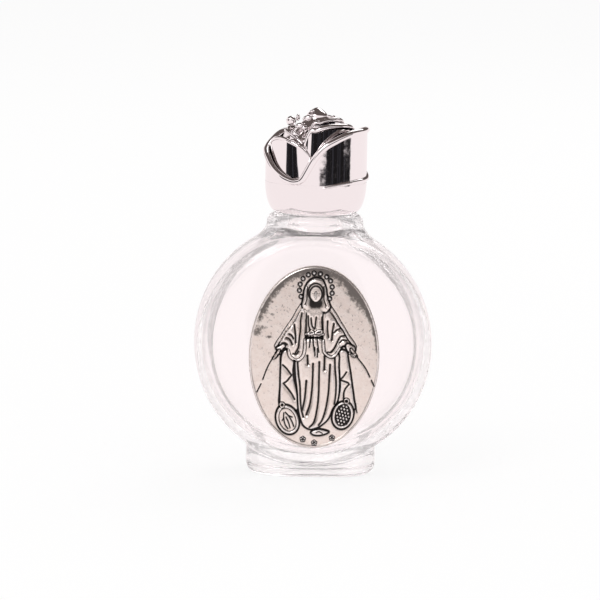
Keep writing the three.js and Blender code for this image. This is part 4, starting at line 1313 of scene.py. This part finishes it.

# %% Figure: veil and neck, with a painted shadow under the chin
veil = [(-2.3, 8.5), (-2.1, 9.9), (-1.95, 11.4), (-1.5, 12.5), (-0.9, 13.2), (0, 13.6), (1.0, 13.4),
        (1.5, 12.7), (1.85, 11.6), (2.0, 10.5), (2.4, 9.2), (2.6, 8.3), (1.9, 7.5), (1.2, 7.6), (0, 8.0),
        (-1.4, 7.8)]
relief.form(veil, 0.66, 0.8, folds=[
    [(-1.45, 12.0), (-1.5, 10.7), (-1.5, 9.8), (-1.8, 8.8)],
    [(1.45, 12.1), (1.55, 10.8), (1.5, 9.8), (1.9, 8.6)]], fold_width=0.22, fold_depth=0.35)
throat = np.exp(-((relief.at[:, 0] / 1.25) ** 4) - ((relief.at[:, 1] - 7.7) / 0.85) ** 4)
relief.stain_and_shade *= 1 - throat
relief.height += (0.5 - relief.height) * throat
# A painted shadow under the chin is laid into the dark finish.
painted_chin_shadow = np.exp(-(((relief.at[:, 0] - 0.05) / 1.35) ** 4) - np.abs((relief.at[:, 1] - 9.1) / 1.1) ** 2.2)
left_hem = np.exp(-(((relief.at[:, 0] + 1.9) / 0.6) ** 4) - ((relief.at[:, 1] - 7.9) / 0.6) ** 4)
relief.stain_and_shade = np.maximum(relief.stain_and_shade * (1 - 0.9 * left_hem), painted_chin_shadow)
print("The highest form so far stands", round(relief.height.max(), 2), "mm proud")

# %% Figure: head
head_u, head_w = 0.05, 10.7
face_half_width, face_half_height = 1.02, 1.42
hair_half_width, hair_half_height = 1.28, 1.55
hair_rise = 0.35
jaw_taper = 0.16
relief.form([(head_u + hair_half_width * math.sin(t), head_w + hair_rise + hair_half_height * math.cos(t))
             for t in np.linspace(0, 5.7, 11)], 0.72, 0.5, base=0.1)
face_outline = []
for t in np.linspace(0, 5.8, 13):
    taper = jaw_taper * math.cos(t) ** 2 if math.cos(t) < 0 else 0
    face_outline.append((head_u + face_half_width * math.sin(t) * (1 - taper),
                         head_w + face_half_height * math.cos(t)))
relief.form(face_outline, 0.55, 0.75, base=0.42)
print("The face is", round(2 * face_half_height, 2), "mm high")

# %% [markdown]
# The face is a plain, calm one in the proportions of any drawing book. The eyes lie at half the head's
# height, an eye's width apart. The nose ends halfway from them to the chin, and the mouth lies a third of
# the way from there to the chin. So small a face needs only soft swellings and a few fine strokes.

# %% Face
chin = head_w - face_half_height
crown = head_w + hair_rise + hair_half_height
eye_line = (chin + crown) / 2
eye_width = 2 * face_half_width / 5
nose_base = (eye_line + chin) / 2
mouth = nose_base - (nose_base - chin) / 3
for side in (-1, 1):
    eye = head_u + side * eye_width
    lid = [(eye - 0.19, eye_line - 0.03), (eye, eye_line - 0.1), (eye + 0.19, eye_line - 0.03)]
    brow = [(eye - 0.22, eye_line + 0.24), (eye, eye_line + 0.31), (eye + 0.22, eye_line + 0.22)]
    nostril = [(head_u + side * 0.12, nose_base), (head_u + side * 0.16, nose_base + 0.05)]
    relief.swelling(eye, eye_line + 0.02, 0.3, 0.2, -0.1)
    relief.swelling(eye, eye_line - 0.02, 0.17, 0.1, 0.09)
    relief.groove(lid, 0.05, 0.03, 0.8)
    relief.groove(brow, 0.05, 0.0, 0.4)
    relief.swelling(head_u + side * 0.5, nose_base + 0.1, 0.3, 0.3, 0.05)
    relief.groove(nostril, 0.05, 0.02, 0.6)
relief.ridge([(head_u, eye_line + 0.15), (head_u, nose_base + 0.1)], 0.1, 0.1)
relief.stain_and_shade[np.linalg.norm(relief.at - (head_u, (eye_line + nose_base) / 2), axis=1) < 0.42] *= 0.45
relief.swelling(head_u, nose_base + 0.08, 0.15, 0.13, 0.14)
relief.swelling(head_u, mouth + 0.06, 0.22, 0.06, 0.05)
relief.swelling(head_u, mouth - 0.08, 0.18, 0.06, 0.06)
lips = [(head_u - 0.25, mouth + 0.02), (head_u, mouth - 0.01), (head_u + 0.25, mouth + 0.02)]
relief.groove(lips, 0.045, 0.03, 0.8)
relief.swelling(head_u, chin + 0.25, 0.22, 0.16, 0.06)
for side in (-1, 1):
    for inset in (0.0, 0.2):
        lock = [(head_u + side * (0.15 + inset), head_w + 1.62 - inset),
                (head_u + side * (0.95 - inset * 0.3), head_w + 0.9),
                (head_u + side * (1.16 - inset * 0.5), head_w - 0.3)]
        relief.groove(lock, 0.06, 0.04, 0.7)
print("The eyes lie", round(eye_line - chin, 2), "mm above the chin")

# %% Beads round the head, and rays
beads = [(-2.5, 10.2), (-2.8, 11.3), (-2.7, 12.4), (-2.2, 13.4), (-1.3, 14.1), (-0.3, 14.4), (0.8, 14.3),
         (1.9, 13.8), (2.6, 13.1), (2.9, 12.0), (2.9, 10.9), (2.5, 9.9)]
for bead_u, bead_w in beads:
    relief.bead(bead_u, bead_w, 0.36, 0.3, ring=0.2)
rays = [
    [(-7.1, 0.0), (-7.9, -1.7), (-8.9, -4.5)],
    [(-9.2, -5.3), (-9.9, -6.7)],
    [(7.3, 0.4), (8.7, -1.6), (9.8, -3.8)],
    [(10.1, -4.4), (10.6, -5.4)],
]
for ray in rays:
    relief.groove(ray, 0.14, 0.08)
print("Drew", len(beads), "beads and", len(rays), "strokes of the rays")


# %% Hanging ovals
def tilted(middle, tilt, across, along):
    """Place of a point that is given across and along a tilted oval."""
    turn = math.radians(tilt)
    return (middle[0] + across * math.cos(turn) - along * math.sin(turn),
            middle[1] + across * math.sin(turn) + along * math.cos(turn))


def oval(middle, half_long, half_short, tilt, count=12):
    """Points round a tilted oval, with its long side up."""
    turns = np.linspace(0, 2 * np.pi, count, endpoint=False)
    return [tilted(middle, tilt, half_short * math.cos(t), half_long * math.sin(t)) for t in turns]


# Each has its middle, its half length, its half width and its tilt in degrees.
medallions = [((-4.45, -11.3), 2.6, 1.95, 22), ((5.2, -10.4), 2.4, 1.85, -14)]
border_inset = 0.28
loop_radius = 0.36
for middle, half_long, half_short, tilt in medallions:
    relief.form(oval(middle, half_long, half_short, tilt), 0.34, 0.3)
    inner = oval(middle, half_long - border_inset, half_short - border_inset, tilt)
    relief.ridge(inner, 0.2, 0.2, closed=True)
    top = tilted(middle, tilt, 0, half_long + 0.1)
    relief.ridge(oval(top, loop_radius, loop_radius, 0, 8), 0.13, 0.25, closed=True)
print("Drew", len(medallions), "hanging ovals")

# %% Draped form in the left oval
draped_strokes = [
    [(-0.2, 1.3), (-0.5, 0.6), (-0.7, -0.6), (-0.5, -1.5)],
    [(0.1, 1.3), (0.4, 0.5), (0.6, -0.5), (0.6, -1.5)],
    [(-0.1, 0.5), (0, -0.4), (-0.1, -1.5)],
    [(-0.9, 0.2), (-0.5, 0.5)],
    [(0.9, 0.1), (0.5, 0.5)],
]
middle, half_long, half_short, tilt = medallions[0]
for stroke in draped_strokes:
    relief.groove([tilted(middle, tilt, *place) for place in stroke], 0.14, 0.1)
print("Drew", len(draped_strokes), "strokes")

# %% Field of beads in the right oval
middle, half_long, half_short, tilt = medallions[1]
field_share = np.linalg.norm((relief.at - middle) / (half_short - 0.4, half_long - 0.4), axis=1)
relief.stain_and_shade[field_share < 0.96] = 0.9
bead_step, row_step = 0.55, 0.52
bead_count = 0
for row in range(-3, 4):
    for column in range(-2, 3):
        across, along = bead_step * (column + 0.5 * (row % 2)), row_step * row
        if (across / (half_short - 0.5)) ** 2 + (along / (half_long - 0.5)) ** 2 < 0.85:
            relief.bead(*tilted(middle, tilt, across, along), 0.2, 0.16)
            bead_count += 1
print("Drew", bead_count, "small beads")

# %% Leaf and rosettes at the foot
leaf = [(-0.3, -13.5), (0.3, -13.1), (1.2, -12.95), (2.1, -13.1), (2.8, -13.4), (1.5, -13.9), (0.3, -13.9)]
relief.form(leaf, 0.3, 0.3)
relief.groove([(0.6, -13.5), (1.1, -13.3), (1.7, -13.6)], 0.1, 0.06)
rosettes = [(-1.7, -14.7), (0.3, -15.3), (3.4, -14.4)]
for rosette_u, rosette_w in rosettes:
    for turn in np.arange(5) * 2 * np.pi / 5:
        relief.bead(rosette_u + 0.3 * math.sin(turn), rosette_w + 0.3 * math.cos(turn), 0.16, 0.14)
print("Drew a leaf and", len(rosettes), "rosettes")

# %% [markdown]
# A die softens what is cut into it. So the relief is averaged a little, its highest forms are flattened,
# and a raised rim runs round it. The same averages show where the finish stays dark, in the hollows, and
# what stands proud, which is painted bright, partly as wear and partly as painted highlight.

# %% Softening, wear and painted highlight
def softened(field, width):
    """The field on the medal's grid, averaged over a few steps each way."""
    grid = field.reshape(grid_steps + 1, grid_steps + 1)
    weights = np.exp(-np.linspace(-2, 2, 2 * width + 1) ** 2)
    weights /= weights.sum()
    for _ in range(2):
        padded = np.pad(grid, ((width, width), (0, 0)), mode="edge")
        grid = sum(weight * padded[i:i + grid_steps + 1] for i, weight in enumerate(weights)).T
    return grid.ravel()


hollow = softened(relief.height, 9) - relief.height
relief.stain_and_shade = np.clip(relief.stain_and_shade, 0, 1) + np.clip(4 * hollow - 0.1, 0, 0.45)
# What stands proud is painted brighter, partly as wear and partly as painted highlight.
wear_and_highlight = np.clip(-14 * (softened(relief.height, 5) - relief.height) - 0.1, 0, 1)
relief.height = softened(relief.height, 1)
# The highest forms are flattened, so that the relief stays within the medal's depth.
room = (medal_back - plate_thickness - plate_dome - medal_low.y) / mm
proud = np.maximum(relief.height - flat_from, 0)
relief.height -= proud * (1 - min(1, (room - flat_from) / proud.max()))
rim_part = 1 - soft_step(from_edge, rim_width * 0.6, rim_width)
relief.height = relief.height * (1 - rim_part) + rim_height * rim_part
# The rim's crest is painted bright as well, partly as wear and partly as painted highlight.
wear_and_highlight = np.maximum(wear_and_highlight, np.exp(-(((from_edge - 0.5 * rim_width) / 0.16) ** 2)))
print("The relief is", round(relief.height.max(), 2), "mm high")

# %% Cloudy film
# Along the rim it runs from the left over the top to the right: (turn in degrees, width in mm, strength).
film_turns, film_widths, film_strengths = np.array([
    (-70, 0.5, 0), (-60, 1.0, 1), (-45, 0.9, 1), (-20, 1.1, 1), (0, 1.4, 1), (20, 1.4, 1), (40, 1.7, 1),
    (52, 1.3, 1), (62, 0.6, 0.95), (80, 0.35, 0.8), (100, 0.25, 0)]).T
clock = np.degrees(np.arctan2(u / half_u, w / half_w))
film_width = np.interp(clock, film_turns, film_widths)
inward = np.maximum(from_edge - rim_width, 0) / film_width
patina = np.interp(clock, film_turns, film_strengths) * np.exp(-(inward**2)) * (1 - rim_part)
# Blotches of the same film: place and half sizes in mm, and strength.
blotches = [
    (-9.9, 8.2, 1.3, 0.8, 0.95), (-10.2, 4.5, 1.0, 1.0, 0.8), (-9.2, 5.0, 0.8, 0.5, 0.7),
    (-8.0, 3.5, 0.6, 0.3, 0.9), (5.8, 8.3, 0.5, 0.45, 0.7), (-7.45, 7.4, 0.35, 0.3, 0.8),
    (-7.5, 9.7, 0.35, 0.3, 0.75), (-4.8, 12.6, 0.25, 0.2, 0.8), (-3.9, 12.5, 0.2, 0.2, 0.8),
    (4.3, 13.0, 1.1, 0.6, 0.8), (0.2, 13.9, 2.4, 0.9, 0.62), (-10.4, 6.3, 0.5, 0.5, 0.5),
]
for blot_u, blot_w, half_wide, half_tall, strength in blotches:
    spread = ((u - blot_u) / half_wide) ** 2 + ((w - blot_w) / half_tall) ** 2
    patina = np.maximum(patina, strength * np.exp(-spread))
patina *= 1 - 0.8 * np.clip(3 * relief.height, 0, 1)
print("The film covers", round(100 * float(np.mean(patina > 0.5))), "% of the medal")

# %% Medal mesh
face_y = medal_back - plate_thickness - plate_dome * (1 - level**2) - relief.height * mm
front = np.stack([u * mm, face_y, medal_middle + w * mm], axis=1)
number = np.arange((grid_steps + 1) ** 2).reshape(grid_steps + 1, grid_steps + 1)
quads = np.stack([number[:-1, :-1], number[1:, :-1], number[1:, 1:], number[:-1, 1:]], axis=2).reshape(-1, 4)
border = np.concatenate([number[:-1, 0], number[-1, :-1], number[:0:-1, -1], number[0, :0:-1]])
edge_u, edge_w = front[border, 0] / face_share, (front[border, 2] - medal_middle) / face_share
points, faces = [front], quads.tolist()
last = border
# The edge is rounded in two steps and then runs straight to the back.
for share, depth in ((0.5, front[border, 1] + 0.35 * edge_round), (1, front[border, 1] + edge_round),
                     (1, medal_back)):
    wide = face_share + (1 - face_share) * share
    start = sum(len(p) for p in points)
    points.append(np.stack([edge_u * wide, depth + 0 * edge_u, medal_middle + edge_w * wide], axis=1))
    new = start + np.arange(len(border))
    faces += np.stack([last, np.roll(last, -1), np.roll(new, -1), new], axis=1).tolist()
    last = new
middle = sum(len(p) for p in points)
points.append(np.array([[0, medal_back, medal_middle]]))
faces += np.stack([last, np.roll(last, -1), np.full(len(last), middle)], axis=1).tolist()
medal = new_piece("relief_medal", np.concatenate(points), faces)
recalculate(medal)
edge_stain = 0.35
finishes = {"stain_and_shade": (relief.stain_and_shade, edge_stain), "wear_and_highlight": (wear_and_highlight, 0.0), "patina": (patina, 0.0)}
for name, (field, at_edge) in finishes.items():
    values = np.full(len(medal.data.vertices), at_edge)
    values[:len(field)] = field
    medal.data.attributes.new(name, "FLOAT", "POINT").data.foreach_set("value", values)
print("The medal has", len(medal.data.polygons), "faces")

# %% [markdown]
# Old silver finish: bright plate, a dark film that stays in every hollow, and small pits that keep some of
# it.
# The film is thicker in cloudy patches near the upper edge. The dark of the hollows also carries a painted
# shadow under the chin, and what stands proud gets a painted highlight that is partly wear. Noise alone
# wouldn't know the hollows, so each point of the mesh carries how dark, how bright and how filmed it is, and
# noise only breaks up the edges between them.

# %% Old silver
antique_silver, sheet = new_material("antique_silver")
place = sheet.place()
stain_and_shade, wear_and_highlight, patina = (sheet.add("ShaderNodeAttribute", {"attribute_name": name}, output="Fac")
                         for name in ("stain_and_shade", "wear_and_highlight", "patina"))
clouds = sheet.noise(700, detail=6, roughness=0.75, place=place)
grain = sheet.noise(2400, detail=3, roughness=0.6, place=place)
ragged = patina.smooth(0.03, 0.4)
cloudy = (patina * 1.15 + ragged * (2.2 * (clouds - 0.5) + 1.2 * (grain - 0.5))).smooth(0.12, 0.95)
height = sheet.add("ShaderNodeSeparateXYZ", inputs={0: place}, output=2)
height_share = (height - medal_middle) / medal_half_height
pits = grain.smooth(0.58, 0.7) * (0.3 + 0.5 * height_share.smooth(-0.3, 0.5))
# The dark mask holds the finish in the hollows and the painted shadow under the chin.
groove = (stain_and_shade + 0.35 * (grain - 0.5) * stain_and_shade.smooth(0.05, 0.4)).smooth(0.08, 0.75)
field = sheet.blend(clouds.smooth(0.3, 0.7), (0.93, 0.825, 0.755, 1), (1.0, 0.925, 0.865, 1))
# Painted highlight, partly wear: a brighter silver where the relief stands proud.
silver = sheet.blend(wear_and_highlight, field, (0.99, 0.96, 0.945, 1))
film_dark = (0.11, 0.095, 0.088, 1)
dark_finish_and_shade = (0.022, 0.018, 0.017, 1)
filmed = sheet.blend((cloudy * 0.92).math("MAXIMUM", pits * 0.6), silver, film_dark)
dull = groove.math("MAXIMUM", cloudy)
sheet.surface(
    Base_Color=sheet.blend(groove, filmed, dark_finish_and_shade),
    Metallic=1.0 - 0.35 * dull,
    Roughness=0.24 + 0.12 * grain + 0.2 * dull,
    Normal=sheet.bump(grain + 0.6 * clouds, 0.05 * mm, 0.5),
)
smooth(medal, 60)
dress(medal, "front_medal", antique_silver)
